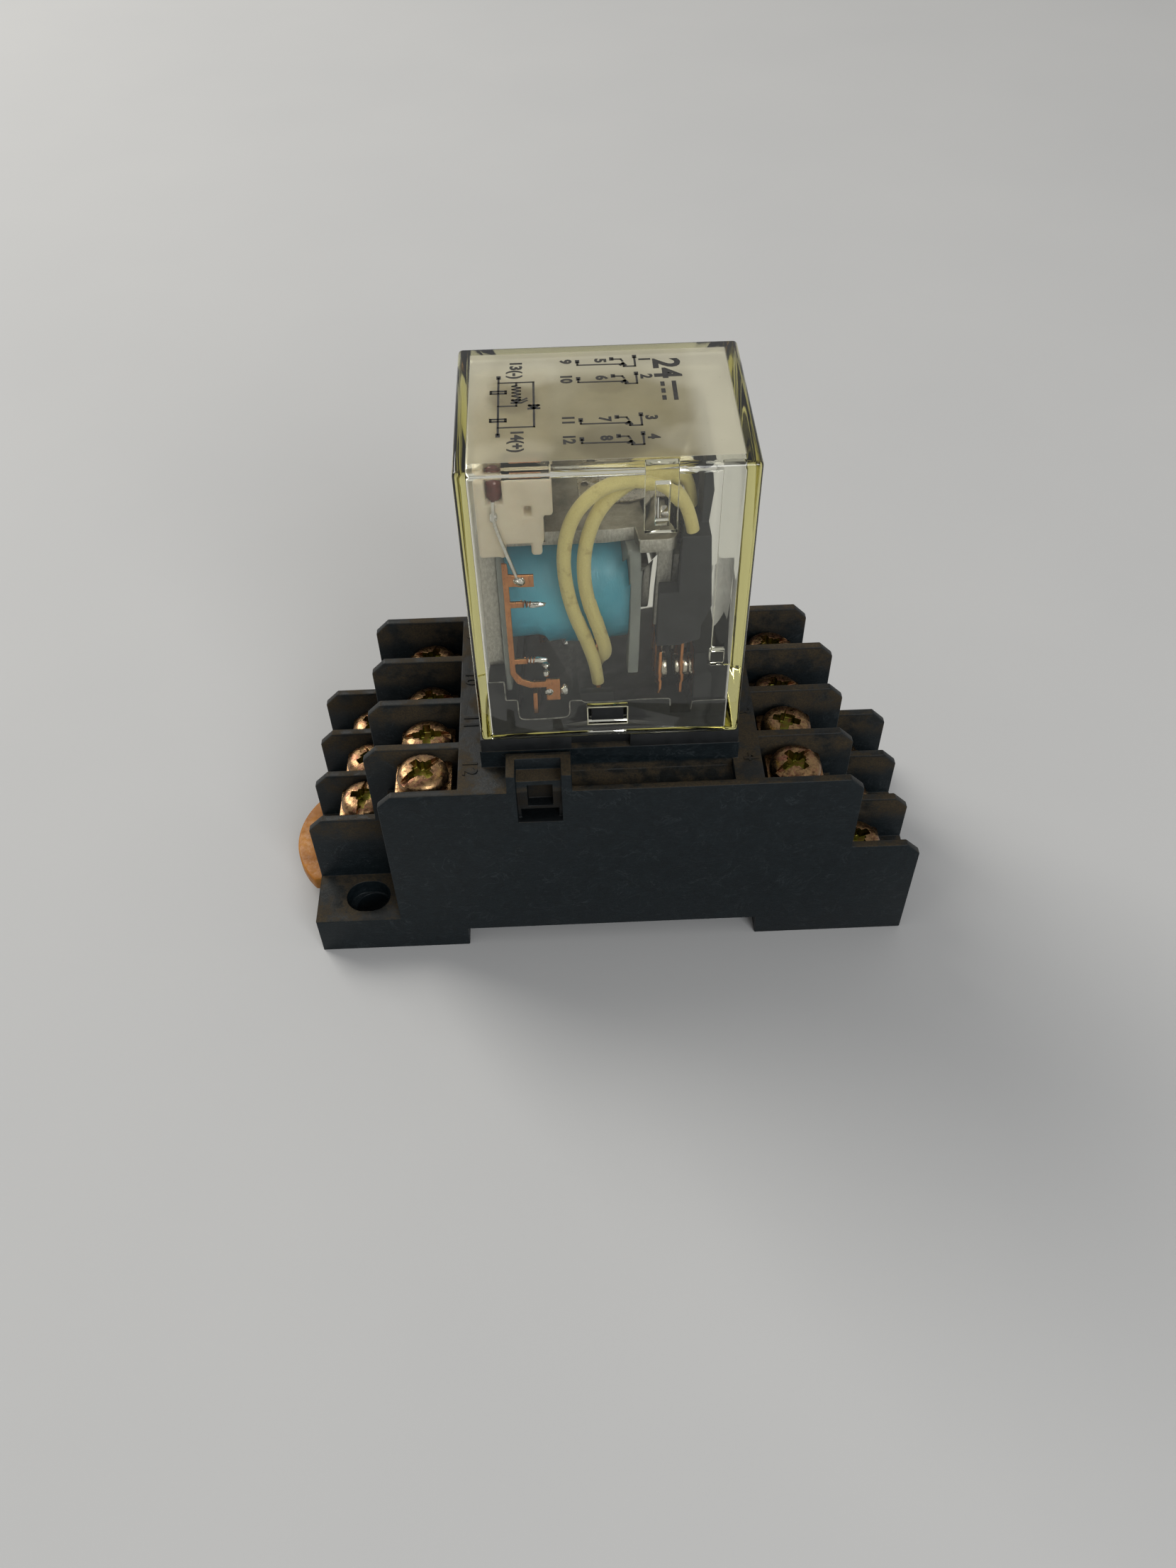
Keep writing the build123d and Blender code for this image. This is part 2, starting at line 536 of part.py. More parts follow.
HOLDER_Y = 8.6
with BuildPart() as indicator_holder:
    block((-12.2, -5.0), (-HOLDER_Y, HOLDER_Y), (57.3, 64.4))
    for side in (1, -1):
        block((-12.2, -9.6), (side * 6.4, side * HOLDER_Y), (55.75, 57.4))
        block((-7.2, -6.15), (side * 6.4, side * HOLDER_Y), (55.95, 57.4))
    block((-5.9, -4.9), (-HOLDER_Y, HOLDER_Y), (57.2, 60.4), Mode.SUBTRACT)
    block((-7.7, -7.0), (-9, -7), (60.4, 61.5), Mode.SUBTRACT)
    block((-11.2, -9.6), (-9, -6.0), (61.8, 65), Mode.SUBTRACT)
    block((-9.3, -5.5), (-8.0, -6.0), (62.8, 65), Mode.SUBTRACT)
save(indicator_holder, "indicator_holder")

with BuildPart() as led:
    rod((-10.4, -7.4, 61.9), 0.72, 2.2, (0, 0, 1))
    fillet(led.edges().sort_by(Axis.Z)[-1], radius=0.6)
save(led, "led")

with BuildPart() as diode:
    rod((-8.9, -7.0, 63.75), 0.8, 3.0, (1, 0, 0))
save(diode, "diode")

STRIP_Y, STRIP_THICKNESS = -9.0, 0.3
STRIP_PROFILE = [
    (-10.2, 55.4), (-9.65, 55.4), (-9.65, 54.05), (-7.15, 54.05), (-7.15, 52.6), (-9.65, 52.6),
    (-9.65, 50.65), (-8.4, 50.65), (-8.4, 49.95), (-9.65, 49.95), (-9.65, 43.15), (-8.4, 43.15),
    (-8.4, 42.5), (-9.65, 42.5), (-9.65, 41.4), (-9.0, 40.35), (-8.1, 39.9), (-6.64, 39.9),
    (-6.64, 40.15), (-5.2, 40.15), (-5.2, 37.2), (-6.64, 37.2), (-6.64, 39.1), (-8.3, 39.1),
    (-9.6, 39.8), (-10.2, 41.2),
]
with BuildPart() as link_strips:
    side_profile(STRIP_PROFILE, about(STRIP_Y, STRIP_THICKNESS))
save(link_strips, "link_strips")

LEAD_RADIUS = 0.22
with BuildPart() as component_leads:
    # indicator lead, bent down to the strip's tab
    tube([(-10.45, -9.4, 62.3), (-10.45, -9.4, 60.2), (-8.85, -9.4, 53.4)], [1.2], LEAD_RADIUS)
save(component_leads, "component_leads")

# ---------------------------------------------------------------- lead wires

WIRE_RADIUS = 0.7
OUTER_ROUTE = [
    (-1.0, -6.6, 38.2), (-1.2, -7.0, 40.6), (-2.3, -8.0, 45.0), (-3.9, -8.4, 50.6), (-4.35, -8.4, 56.0),
    (-3.1, -7.95, 60.4), (0.1, -7.3, 62.9), (4.1, -7.1, 63.1), (7.3, -7.3, 60.9), (8.0, -7.45, 57.45),
]
INNER_ROUTE = [
    (-0.9, -2.4, 38.4), (-0.8, -4.0, 39.9), (-0.1, -7.4, 42.6), (-1.1, -8.4, 46.8), (-2.3, -8.4, 51.8),
    (-2.2, -8.2, 56.6), (-0.6, -7.2, 60.4), (2.4, -5.7, 61.9), (5.4, -4.4, 62.2), (7.6, -3.4, 60.6),
    (8.0, -2.9, 57.45),
]


def bend_radii(points):
    """Arcs as large as the neighbouring runs allow."""
    nodes = [Vector(*point) for point in points]
    radii = []
    for before, corner, after in zip(nodes, nodes[1:], nodes[2:]):
        run_in, run_out = corner - before, after - corner
        half_turn = radians(run_in.get_angle(run_out) / 2)
        radii.append(0.45 * min(run_in.length, run_out.length) * cos(half_turn) / sin(half_turn))
    return radii


for row, route in (("outer", OUTER_ROUTE), ("inner", INNER_ROUTE)):
    for place, side in (("front", 1), ("back", -1)):
        points = [(x, side * y, z) for x, y, z in route]
        radii = bend_radii(points)
        with BuildPart() as lead_wire:
            tube(points, radii, WIRE_RADIUS)
        print(place, row, "bends", [round(radius, 1) for radius in radii])
        save(lead_wire, f"lead_wire_{place}_{row}")
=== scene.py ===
import json
import math

import bmesh
import bpy
from mathutils import Matrix, Vector, noise


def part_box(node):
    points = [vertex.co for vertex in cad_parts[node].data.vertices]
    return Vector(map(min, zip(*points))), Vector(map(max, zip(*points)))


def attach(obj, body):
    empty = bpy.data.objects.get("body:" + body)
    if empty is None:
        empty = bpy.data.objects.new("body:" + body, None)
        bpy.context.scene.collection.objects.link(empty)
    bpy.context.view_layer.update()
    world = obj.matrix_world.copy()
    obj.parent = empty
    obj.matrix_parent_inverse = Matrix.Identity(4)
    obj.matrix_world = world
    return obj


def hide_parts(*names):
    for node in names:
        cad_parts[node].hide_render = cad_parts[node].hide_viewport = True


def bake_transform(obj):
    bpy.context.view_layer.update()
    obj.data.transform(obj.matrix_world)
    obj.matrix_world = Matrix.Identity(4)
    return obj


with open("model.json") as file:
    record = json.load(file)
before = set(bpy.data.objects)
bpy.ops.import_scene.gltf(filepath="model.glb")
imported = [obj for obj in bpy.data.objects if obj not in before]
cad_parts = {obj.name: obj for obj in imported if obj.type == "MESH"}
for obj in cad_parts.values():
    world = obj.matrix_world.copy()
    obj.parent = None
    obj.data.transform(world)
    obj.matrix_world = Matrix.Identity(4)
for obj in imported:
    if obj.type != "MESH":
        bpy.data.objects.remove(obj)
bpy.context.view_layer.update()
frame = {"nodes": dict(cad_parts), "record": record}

MM = 0.001
SLOT_OF = {part["node"]: part["material_slot"] for part in frame["record"]["subparts"]}
BODY_OF = {
    node: body for body, nodes in frame["record"]["behaviour"]["bodies"].items() for node in nodes
}


def box_mm(node):
    """Lowest and highest corner of a CAD node, in millimetres."""
    low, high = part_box(node)
    return low / MM, high / MM


# ------------------------------------------------------------------ materials


class Shader:
    """One material, with short calls for the textures that the finishes here are made of."""

    def __init__(self, name, color=(0.5, 0.5, 0.5), roughness=0.5, metallic=0.0, **sockets):
        self.material = bpy.data.materials.new(name)
        self.material.use_nodes = True
        self.tree = self.material.node_tree
        self.surface = self.tree.nodes["Principled BSDF"]
        self.put("Base Color", (*color, 1))
        self.put("Roughness", roughness)
        self.put("Metallic", metallic)
        for socket, value in sockets.items():
            self.put(socket.replace("_", " "), value)
        self.place = self.node("ShaderNodeTexCoord").outputs["Object"]
        self.relief = None

    def put(self, socket, value):
        """A constant on the shader's own socket, or a texture plugged into it."""
        if isinstance(value, bpy.types.NodeSocket):
            self.tree.links.new(value, self.surface.inputs[socket])
        else:
            self.surface.inputs[socket].default_value = value

    def node(self, kind, inputs=(), **settings):
        made = self.tree.nodes.new(kind)
        for name, value in settings.items():
            setattr(made, name, value)
        for key, value in dict(inputs).items():
            if isinstance(value, bpy.types.NodeSocket):
                self.tree.links.new(value, made.inputs[key])
            else:
                made.inputs[key].default_value = value
        return made

    def stretched(self, scale):
        """Object coordinates, stretched by a factor on each axis."""
        return self.node("ShaderNodeMapping", {"Vector": self.place, "Scale": scale}).outputs[0]

    def noise(self, size, detail=3.0, roughness=0.55, stretch=None, distortion=0.0):
        """Noise whose features are about size millimetres across."""
        place = self.stretched(stretch) if stretch else self.place
        inputs = {
            "Vector": place, "Scale": 1 / (size * MM), "Detail": detail, "Roughness": roughness,
            "Distortion": distortion,
        }
        return self.node("ShaderNodeTexNoise", inputs).outputs[0]

    def span(self, source, low, high, to_low=0.0, to_high=1.0):
        """source mapped from one range to another, and held inside it."""
        inputs = {0: source, 1: low, 2: high, 3: to_low, 4: to_high}
        return self.node("ShaderNodeMapRange", inputs, interpolation_type="SMOOTHSTEP").outputs[0]

    def times(self, first, second):
        return self.node("ShaderNodeMath", {0: first, 1: second}, operation="MULTIPLY").outputs[0]

    def most(self, first, second):
        return self.node("ShaderNodeMath", {0: first, 1: second}, operation="MAXIMUM").outputs[0]

    def mixed(self, amount, first, second):
        """Two colours mixed by a mask."""
        first, second = ((*c, 1) if isinstance(c, tuple) else c for c in (first, second))
        made = self.node("ShaderNodeMix", data_type="RGBA")
        for key, value in ((0, amount), (6, first), (7, second)):
            if isinstance(value, bpy.types.NodeSocket):
                self.tree.links.new(value, made.inputs[key])
            else:
                made.inputs[key].default_value = value
        return made.outputs[2]

    def ramp(self, source, *stops):
        """A colour ramp: stops are (place, colour)."""
        made = self.node("ShaderNodeValToRGB", {0: source})
        elements = made.color_ramp.elements
        while len(elements) < len(stops):
            elements.new(0.5)
        for element, (place, color) in zip(elements, stops):
            element.position = place
            element.color = (*color, 1)
        return made.outputs[0]

    def axis(self, name):
        """One object coordinate in millimetres."""
        split = self.node("ShaderNodeSeparateXYZ", {0: self.place})
        return self.times(split.outputs[name], 1 / MM)

    def spot(self, x, y, width, depth):
        """A soft-edged patch about a point seen from above: place and half sizes in millimetres."""
        place = self.node("ShaderNodeMapping", {
            "Vector": self.place, "Location": (-x / width, -y / depth, 0),
            "Scale": (1 / (width * MM), 1 / (depth * MM), 0),
        }).outputs[0]
        ragged = self.node("ShaderNodeVectorMath", {0: place}, operation="LENGTH").outputs["Value"]
        wander = self.times(self.noise(2.2, 3), 0.5)
        return self.span(self.node("ShaderNodeMath", {0: ragged, 1: wander}).outputs[0], 1.45, 0.85)

    def facing(self, name):
        """One component of the surface's own direction."""
        normal = self.node("ShaderNodeNewGeometry").outputs["True Normal"]
        turned = self.node("ShaderNodeVectorTransform", {0: normal}, vector_type="NORMAL",
                           convert_from="WORLD", convert_to="OBJECT")
        return self.node("ShaderNodeSeparateXYZ", {0: turned.outputs[0]}).outputs[name]

    def bump(self, height, depth, strength=1.0):
        """Relief, depth millimetres deep, added to what is there already."""
        inputs = {"Height": height, "Distance": depth * MM, "Strength": strength}
        if self.relief:
            inputs["Normal"] = self.relief
        self.relief = self.node("ShaderNodeBump", inputs).outputs[0]
        self.put("Normal", self.relief)
        return self


def socket_plastic():
    """Glass-filled black moulding, with fine swirls and brown dust where dust settles, and painted shade that
    darkens the latch clip's cavity almost to black.
    """
    s = Shader("socket_plastic", Specular_IOR_Level=0.2)
    mottle = s.noise(1.6, 5, 0.62, distortion=1.2)
    bands = s.noise(5.0, 4, 0.6, distortion=2.2)
    swirls = s.ramp(bands, (0.48, (0, 0, 0)), (0.50, (1, 1, 1)), (0.52, (0, 0, 0)))
    plastic = s.ramp(mottle, (0.25, (0.0026, 0.0050, 0.0064)), (0.75, (0.0066, 0.0112, 0.0136)))
    swirls = s.times(swirls, s.span(s.noise(3.0, 3), 0.4, 0.7, 0.0, 0.55))
    plastic = s.mixed(swirls, plastic, (0.030, 0.037, 0.040))
    streaks = s.span(s.noise(0.7, 5, 0.7, stretch=(0.45, 1, 1.5), distortion=3.0), 0.52, 0.72)
    plastic = s.mixed(s.times(streaks, 0.4), plastic, (0.026, 0.033, 0.036))
    patches = s.noise(3.4, 5, 0.6)
    grit = s.noise(0.22, 3, 0.7)
    up = s.span(s.facing("Z"), 0.55, 0.95)
    height = s.axis("Z")
    across, along = s.axis("X"), s.axis("Y")
    # the latch clip's cavity: painted shade takes its colour almost to black, and no dust is laid in it
    clip_cavity_shade = s.times(s.times(s.span(across, -10.6, -10.4), s.span(across, -5.25, -5.45)),
                      s.times(s.times(s.span(along, -12.0, -12.2), s.span(along, -14.72, -14.62)),
                              s.times(s.span(height, 19.8, 20.0), s.span(height, 27.4, 27.1))))
    open_place = s.times(s.span(height, 5.3, 5.6), s.span(clip_cavity_shade, 0.0, 1.0, 1.0, 0.0))
    on_top = s.times(s.times(up, open_place), s.span(patches, 0.40, 0.60, 0.2, 1.0))
    clip_rim = s.times(s.times(s.span(across, -11.7, -11.5), s.span(across, -4.0, -4.2)),
                       s.times(s.span(along, -11.5, -11.7), s.span(height, 27.5, 27.8)))
    on_top = s.most(on_top, s.times(up, clip_rim))
    # the inner faces of the terminal walls are brown near the deck
    sideways = s.span(s.facing("Y"), -0.2, -0.9)
    inside = s.span(along, -14.5, -14.2)
    near_deck = s.most(s.times(s.span(height, 23.4, 26.4), s.span(height, 28.3, 27.6)),
                       s.times(s.span(height, 11.8, 14.8), s.span(height, 16.4, 15.8)))
    on_walls = s.times(s.times(sideways, inside), s.times(near_deck, s.span(patches, 0.35, 0.58, 0.15, 1.0)))
    dust = s.times(s.most(on_top, on_walls), s.span(grit, 0.2, 0.62, 0.45, 1.0))
    tint = s.mixed(grit, (0.024, 0.0175, 0.0100), (0.062, 0.046, 0.0260))
    # painted shade: the clip's cavity is mixed towards black
    s.put("Base Color", s.mixed(s.times(clip_cavity_shade, 0.7), s.mixed(dust, plastic, tint), (0.001, 0.001, 0.001)))
    s.put("Roughness", s.span(s.most(dust, s.times(mottle, 0.45)), 0.1, 0.9, 0.42, 0.88))
    s.bump(s.noise(0.12, 2, 0.6), 0.012)
    s.bump(s.noise(1.1, 4, 0.7, stretch=(0.5, 1, 1.6), distortion=2.5), 0.02)
    return s.bump(grit, 0.03, 0.5).material


def base_plastic():
    """Charcoal moulding inside the cover."""
    s = Shader("base_plastic", roughness=0.5, Specular_IOR_Level=0.25)
    tones = s.ramp(s.noise(2.2, 4), (0.3, (0.0070, 0.0078, 0.0085)), (0.7, (0.0140, 0.0155, 0.0165)))
    s.put("Base Color", tones)
    s.put("Roughness", s.span(s.noise(0.8, 3), 0.3, 0.7, 0.38, 0.6))
    return s.bump(s.noise(0.1, 2), 0.008).material


def edge_highlight_paint():
    """Pale colour for the lines along the edges of the mouldings under the cover: a painted highlight for the
    light those edges catch.
    """
    s = Shader("edge_highlight_paint", roughness=0.8, Specular_IOR_Level=0.2)
    tones = s.ramp(s.noise(0.8, 4, 0.7), (0.35, (0.09, 0.092, 0.086)), (0.65, (0.40, 0.39, 0.36)))
    s.put("Base Color", tones)
    return s.bump(s.noise(0.15, 3), 0.01).material


def window_highlight_paint():
    """Pale colour for the lines round the cover's snap windows: a painted highlight for the light those edges
    catch.
    """
    s = Shader("window_highlight_paint", roughness=0.45)
    s.put("Base Color", s.ramp(s.noise(1.2, 3), (0.3, (0.34, 0.32, 0.21)), (0.7, (0.62, 0.60, 0.47))))
    return s.bump(s.noise(0.2, 3), 0.01).material


def carrier_plastic():
    """Dark grey moulding of the contact carrier."""
    s = Shader("carrier_plastic", Specular_IOR_Level=0.28)
    s.put("Base Color", s.ramp(s.noise(1.8, 4), (0.3, (0.027, 0.029, 0.032)), (0.7, (0.040, 0.043, 0.046))))
    s.put("Roughness", s.span(s.noise(0.6, 3), 0.3, 0.7, 0.45, 0.65))
    return s.bump(s.noise(0.12, 2), 0.01).material


def latch_plastic():
    """Orange acetal, browned and scuffed."""
    s = Shader("latch_plastic", Specular_IOR_Level=0.2, Subsurface_Weight=0.1,
               Subsurface_Radius=(0.002, 0.0006, 0.0002))
    worn = s.noise(2.5, 5, 0.6)
    s.put("Base Color", s.ramp(worn, (0.25, (0.22, 0.075, 0.008)), (0.7, (0.42, 0.170, 0.020))))
    s.put("Roughness", s.span(s.noise(0.7, 3), 0.3, 0.7, 0.35, 0.6))
    return s.bump(s.noise(0.25, 3), 0.02).material


def brushed(name, dark, light, rough, size=0.25, stretch=(1, 1, 1), depth=0.006, patches=3.0):
    """A rolled metal: fine grain along one axis, with slow changes of tone."""
    s = Shader(name, metallic=1.0)
    grain = s.noise(size, 3, 0.6, stretch=stretch)
    slow = s.noise(patches, 4, 0.6)
    blend = s.times(s.span(grain, 0.2, 0.8, 0.55, 1.0), s.span(slow, 0.25, 0.75, 0.35, 1.0))
    s.put("Base Color", s.mixed(blend, dark, light))
    s.put("Roughness", s.span(grain, 0.2, 0.8, rough[0], rough[1]))
    return s.bump(grain, depth).material


def contact_copper():
    return brushed("contact_copper", (0.30, 0.105, 0.035), (0.70, 0.32, 0.125), (0.24, 0.42),
                   stretch=(1, 1, 0.2))


def terminal_plating():
    return brushed("terminal_plating", (0.22, 0.17, 0.10), (0.62, 0.52, 0.36), (0.3, 0.5), patches=1.2)


def contact_silver():
    return brushed("contact_silver", (0.30, 0.26, 0.20), (0.66, 0.62, 0.54), (0.2, 0.38),
                   size=0.5, depth=0.003)


def yoke_steel():
    """Dull plated steel, bright and torn where it was sheared at its sides."""
    s = Shader("yoke_steel", metallic=1.0)
    grain = s.noise(0.3, 3, 0.6)
    dull = s.mixed(s.span(s.noise(2.0, 4, 0.6), 0.25, 0.75), (0.19, 0.175, 0.135), (0.37, 0.34, 0.27))
    torn = s.noise(0.22, 4, 0.7, stretch=(1, 1, 0.5))
    sideways = s.span(s.facing("Y"), -0.6, -0.9)
    s.put("Base Color", s.mixed(sideways, dull, s.mixed(torn, (0.30, 0.28, 0.24), (0.92, 0.90, 0.85))))
    s.put("Roughness", s.span(grain, 0.0, 1.0, 0.42, 0.7))
    s.bump(grain, 0.01)
    return s.bump(s.times(torn, sideways), 0.08).material


def winding_copper():
    """Enamelled wire, laid turn beside turn."""
    s = Shader("winding_copper", metallic=1.0, roughness=0.3)
    waves = s.node("ShaderNodeTexWave", {"Vector": s.place, "Scale": 1800.0}, bands_direction="X")
    turns = waves.outputs["Fac"]
    s.put("Base Color", s.mixed(turns, (0.16, 0.05, 0.02), (0.62, 0.26, 0.10)))
    return s.bump(turns, 0.03).material


def screw_zinc():
    """Yellow passivated zinc, with the pinks and greens of its thin film, browned by age."""
    s = Shader("screw_zinc", metallic=1.0)
    film = s.noise(1.7, 4, 0.65, distortion=1.5)
    tones = s.ramp(
        film,
        (0.26, (0.235, 0.080, 0.060)), (0.40, (0.28, 0.145, 0.080)), (0.52, (0.35, 0.225, 0.105)),
        (0.62, (0.23, 0.110, 0.070)), (0.74, (0.165, 0.150, 0.032)),
    )
    dirt = s.span(s.noise(0.6, 4, 0.7), 0.47, 0.66)
    s.put("Base Color", s.mixed(s.times(dirt, 0.8), tones, (0.060, 0.034, 0.018)))
    s.put("Roughness", s.span(s.noise(0.35, 4), 0.25, 0.75, 0.20, 0.46))
    s.bump(s.noise(0.18, 3), 0.015)
    return s.bump(s.noise(0.9, 3), 0.05, 0.6).material


def screw_recess():
    """The driver recess: the same plating, greener, and darkened as painted shade in the hollow."""
    s = Shader("screw_recess", metallic=1.0)
    film = s.noise(0.7, 4, 0.65)
    tones = s.ramp(film, (0.3, (0.05, 0.035, 0.014)), (0.5, (0.22, 0.21, 0.035)), (0.7, (0.25, 0.12, 0.06)))
    s.put("Base Color", tones)
    s.put("Roughness", s.span(film, 0.3, 0.7, 0.25, 0.5))
    return s.bump(s.noise(0.2, 3), 0.02).material


def aged_depth(s, density):
    """The yellow that plastic takes on with the depth looked through."""
    depth = s.node("ShaderNodeVolumeAbsorption", {"Color": (0.90, 0.86, 0.30, 1), "Density": density})
    s.tree.links.new(depth.outputs[0], s.tree.nodes["Material Output"].inputs["Volume"])


def clear_cover():
    """Clear moulding gone yellow, its top frosted by handling inside a clear rim, with painted reflection and
    painted shade as pale and dark patches on the frosted top.
    """
    s = Shader("clear_cover", IOR=1.49, Specular_IOR_Level=0.14)
    across, along = s.axis("X"), s.axis("Y")
    on_top = s.times(s.span(s.facing("Z"), 0.8, 0.95), s.span(s.axis("Z"), 65.6, 65.9))
    inside_rim = s.times(s.times(s.span(across, -12.75, -12.5), s.span(across, 12.6, 12.3)),
                         s.times(s.span(along, -9.3, -9.05), s.span(along, 9.3, 9.05)))
    frosted = s.times(on_top, inside_rim)
    cloud = s.noise(3.0, 5, 0.6)
    tone = s.mixed(cloud, (0.225, 0.195, 0.115), (0.36, 0.32, 0.205))
    # painted reflection: pale patches lighten the frosted top at the back, the right and in spots; painted
    # shade: dark patches darken it in other spots
    painted_reflection_patches = (
        (s.span(across, 7.6, 9.4), 0.85),
        (s.times(s.span(across, -9.6, -11.2), s.span(along, -3.0, 3.0, 0.35, 1.0)), 0.55),
        (s.span(along, 3.2, 7.0), 0.62),
        (s.spot(-6.8, 5.6, 3.4, 2.6), 0.5), (s.spot(7.8, 5.4, 4.0, 3.2), 0.4),
        (s.spot(8.0, -6.2, 3.6, 2.4), 0.35), (s.spot(-8.4, -7.6, 4.0, 2.2), 0.3),
    )
    painted_shade_patches = (
        (s.spot(-8.4, 0.9, 2.6, 2.4), 0.5), (s.spot(0.6, -6.4, 3.6, 3.4), 0.5),
        (s.spot(0.8, 3.0, 2.2, 1.6), 0.3),
    )
    for patches, patch_color in ((painted_reflection_patches, (0.60, 0.565, 0.43)), (painted_shade_patches, (0.115, 0.098, 0.060))):
        for mask, amount in patches:
            tone = s.mixed(s.times(mask, amount), tone, patch_color)
    specks = s.span(s.noise(0.35, 3, 0.7), 0.66, 0.74)
    tone = s.mixed(s.times(specks, 0.35), tone, (0.16, 0.13, 0.08))
    grimy = s.mixed(on_top, (1.0, 1.0, 0.985), (0.80, 0.77, 0.62))
    s.put("Base Color", s.mixed(frosted, grimy, tone))
    clouded = s.times(frosted, s.span(cloud, 0.2, 0.8, 0.85, 1.0))
    s.put("Transmission Weight", s.span(clouded, 0.0, 1.0, 1.0, 0.42))
    scuffs = s.span(s.noise(3.0, 4, 0.6), 0.35, 0.75, 0.01, 0.06)
    s.put("Roughness", s.most(scuffs, s.times(frosted, 0.34)))
    s.bump(s.noise(6.0, 2, 0.5), 0.02)
    aged_depth(s, 66.0)
    return s.material


def coil_tape_blue():
    """Turquoise film tape, stretched over the winding's ridges."""
    s = Shader("coil_tape_blue", Specular_IOR_Level=0.5, Coat_Weight=0.25, Coat_Roughness=0.2)
    tone = s.noise(5.0, 4, 0.55)
    s.put("Base Color", s.ramp(tone, (0.3, (0.055, 0.36, 0.54)), (0.7, (0.10, 0.50, 0.69))))
    s.put("Roughness", s.span(s.noise(0.9, 4), 0.3, 0.7, 0.3, 0.48))
    s.bump(s.noise(0.5, 3, 0.6, stretch=(3, 1, 1)), 0.03)
    return s.bump(s.noise(3.0, 2), 0.12).material


def bobbin_plastic():
    s = Shader("bobbin_plastic", Subsurface_Weight=0.1, Subsurface_Radius=(0.001, 0.001, 0.001))
    s.put("Base Color", s.ramp(s.noise(3.0, 4), (0.3, (0.225, 0.245, 0.235)), (0.7, (0.305, 0.325, 0.310))))
    s.put("Roughness", s.span(s.noise(0.8, 3), 0.3, 0.7, 0.38, 0.55))
    return s.bump(s.noise(0.2, 2), 0.01).material


def holder_plastic():
    s = Shader("holder_plastic", Subsurface_Weight=0.25, Subsurface_Radius=(0.002, 0.0015, 0.001))
    s.put("Base Color", s.ramp(s.noise(3.5, 4), (0.3, (0.75, 0.65, 0.50)), (0.7, (0.86, 0.775, 0.63))))
    s.put("Roughness", s.span(s.noise(0.8, 3), 0.3, 0.7, 0.42, 0.6))
    return s.bump(s.noise(0.25, 3), 0.015).material


def led_resin():
    s = Shader("led_resin", roughness=0.3, Subsurface_Weight=0.3, Subsurface_Radius=(0.002, 0.0004, 0.0003))
    s.put("Base Color", s.ramp(s.noise(0.8, 3), (0.3, (0.085, 0.02, 0.017)), (0.7, (0.18, 0.055, 0.045))))
    return s.bump(s.noise(0.3, 2), 0.01).material


def diode_glass():
    s = Shader("diode_glass", roughness=0.18, Subsurface_Weight=0.3, Subsurface_Radius=(0.002, 0.001, 0.0006))
    s.put("Base Color", s.ramp(s.axis("X"), (0.0, (0.55, 0.24, 0.11)), (1.0, (0.70, 0.42, 0.26))))
    return s.bump(s.noise(0.6, 2), 0.01).material


def tinned_wire():
    return brushed("tinned_wire", (0.48, 0.46, 0.43), (0.86, 0.85, 0.82), (0.12, 0.26), size=0.4, depth=0.01)


def wire_insulation():
    """Pale yellow sleeving with a felted surface, browned in places."""
    s = Shader("wire_insulation", Sheen_Weight=0.25, Sheen_Roughness=0.5, Specular_IOR_Level=0.3)
    fibre = s.noise(0.16, 4, 0.7)
    stain = s.span(s.noise(1.6, 5, 0.65), 0.56, 0.74)
    s.put("Base Color", s.mixed(s.times(stain, 0.5), s.mixed(fibre, (0.66, 0.555, 0.20), (0.90, 0.80, 0.38)),
                                (0.36, 0.23, 0.065)))
    s.put("Roughness", s.span(fibre, 0.2, 0.8, 0.6, 0.85))
    return s.bump(fibre, 0.07).material


def solder():
    s = Shader("solder", metallic=1.0)
    s.put("Base Color", s.mixed(s.noise(0.5, 3), (0.50, 0.49, 0.47), (0.92, 0.91, 0.88)))
    s.put("Roughness", s.span(s.noise(0.4, 3), 0.3, 0.7, 0.08, 0.3))
    return s.bump(s.noise(0.35, 3), 0.05).material


def print_ink():
    s = Shader("print_ink", roughness=0.7)
    s.put("Base Color", s.ramp(s.noise(0.3, 4), (0.35, (0.012, 0.011, 0.010)), (0.75, (0.034, 0.032, 0.027))))
    return s.bump(s.noise(0.15, 2), 0.004).material


def floor_paint():
    s = Shader("floor_paint", roughness=0.75, Specular_IOR_Level=0.25)
    s.put("Base Color", s.ramp(s.noise(60, 3), (0.3, (0.450, 0.450, 0.446)), (0.7, (0.465, 0.464, 0.458))))
    return s.bump(s.noise(1.5, 3), 0.01).material


FINISHES = {
    maker.__name__: maker()
    for maker in (
        socket_plastic, base_plastic, edge_highlight_paint, window_highlight_paint, carrier_plastic, latch_plastic,
        contact_copper, terminal_plating, contact_silver, yoke_steel, winding_copper, screw_zinc,
        screw_recess, clear_cover, coil_tape_blue, bobbin_plastic, holder_plastic, led_resin, diode_glass,
        tinned_wire, wire_insulation, solder, print_ink, floor_paint,
    )
}


# ------------------------------------------------------------------ building helpers


def place(mesh, name, finish, body, slot=None, nodes=()):
    """Puts a mesh or curve in the scene as a finished piece of the object."""
    piece = bpy.data.objects.new(name, mesh)
    bpy.context.scene.collection.objects.link(piece)
    mesh.materials.clear()
    mesh.materials.append(FINISHES[finish])
    if body:
        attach(piece, body)
    if nodes:
        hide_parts(*nodes)
    return piece


def settle(piece):
    """Applies a piece's modifiers to its mesh."""
    bpy.context.view_layer.update()
    shaped = piece.evaluated_get(bpy.context.evaluated_depsgraph_get())
    mesh = bpy.data.meshes.new_from_object(shaped)
    piece.modifiers.clear()
    piece.data = mesh
    return piece


SHARP = 38                                  # degrees: edges that turn further than this are rounded


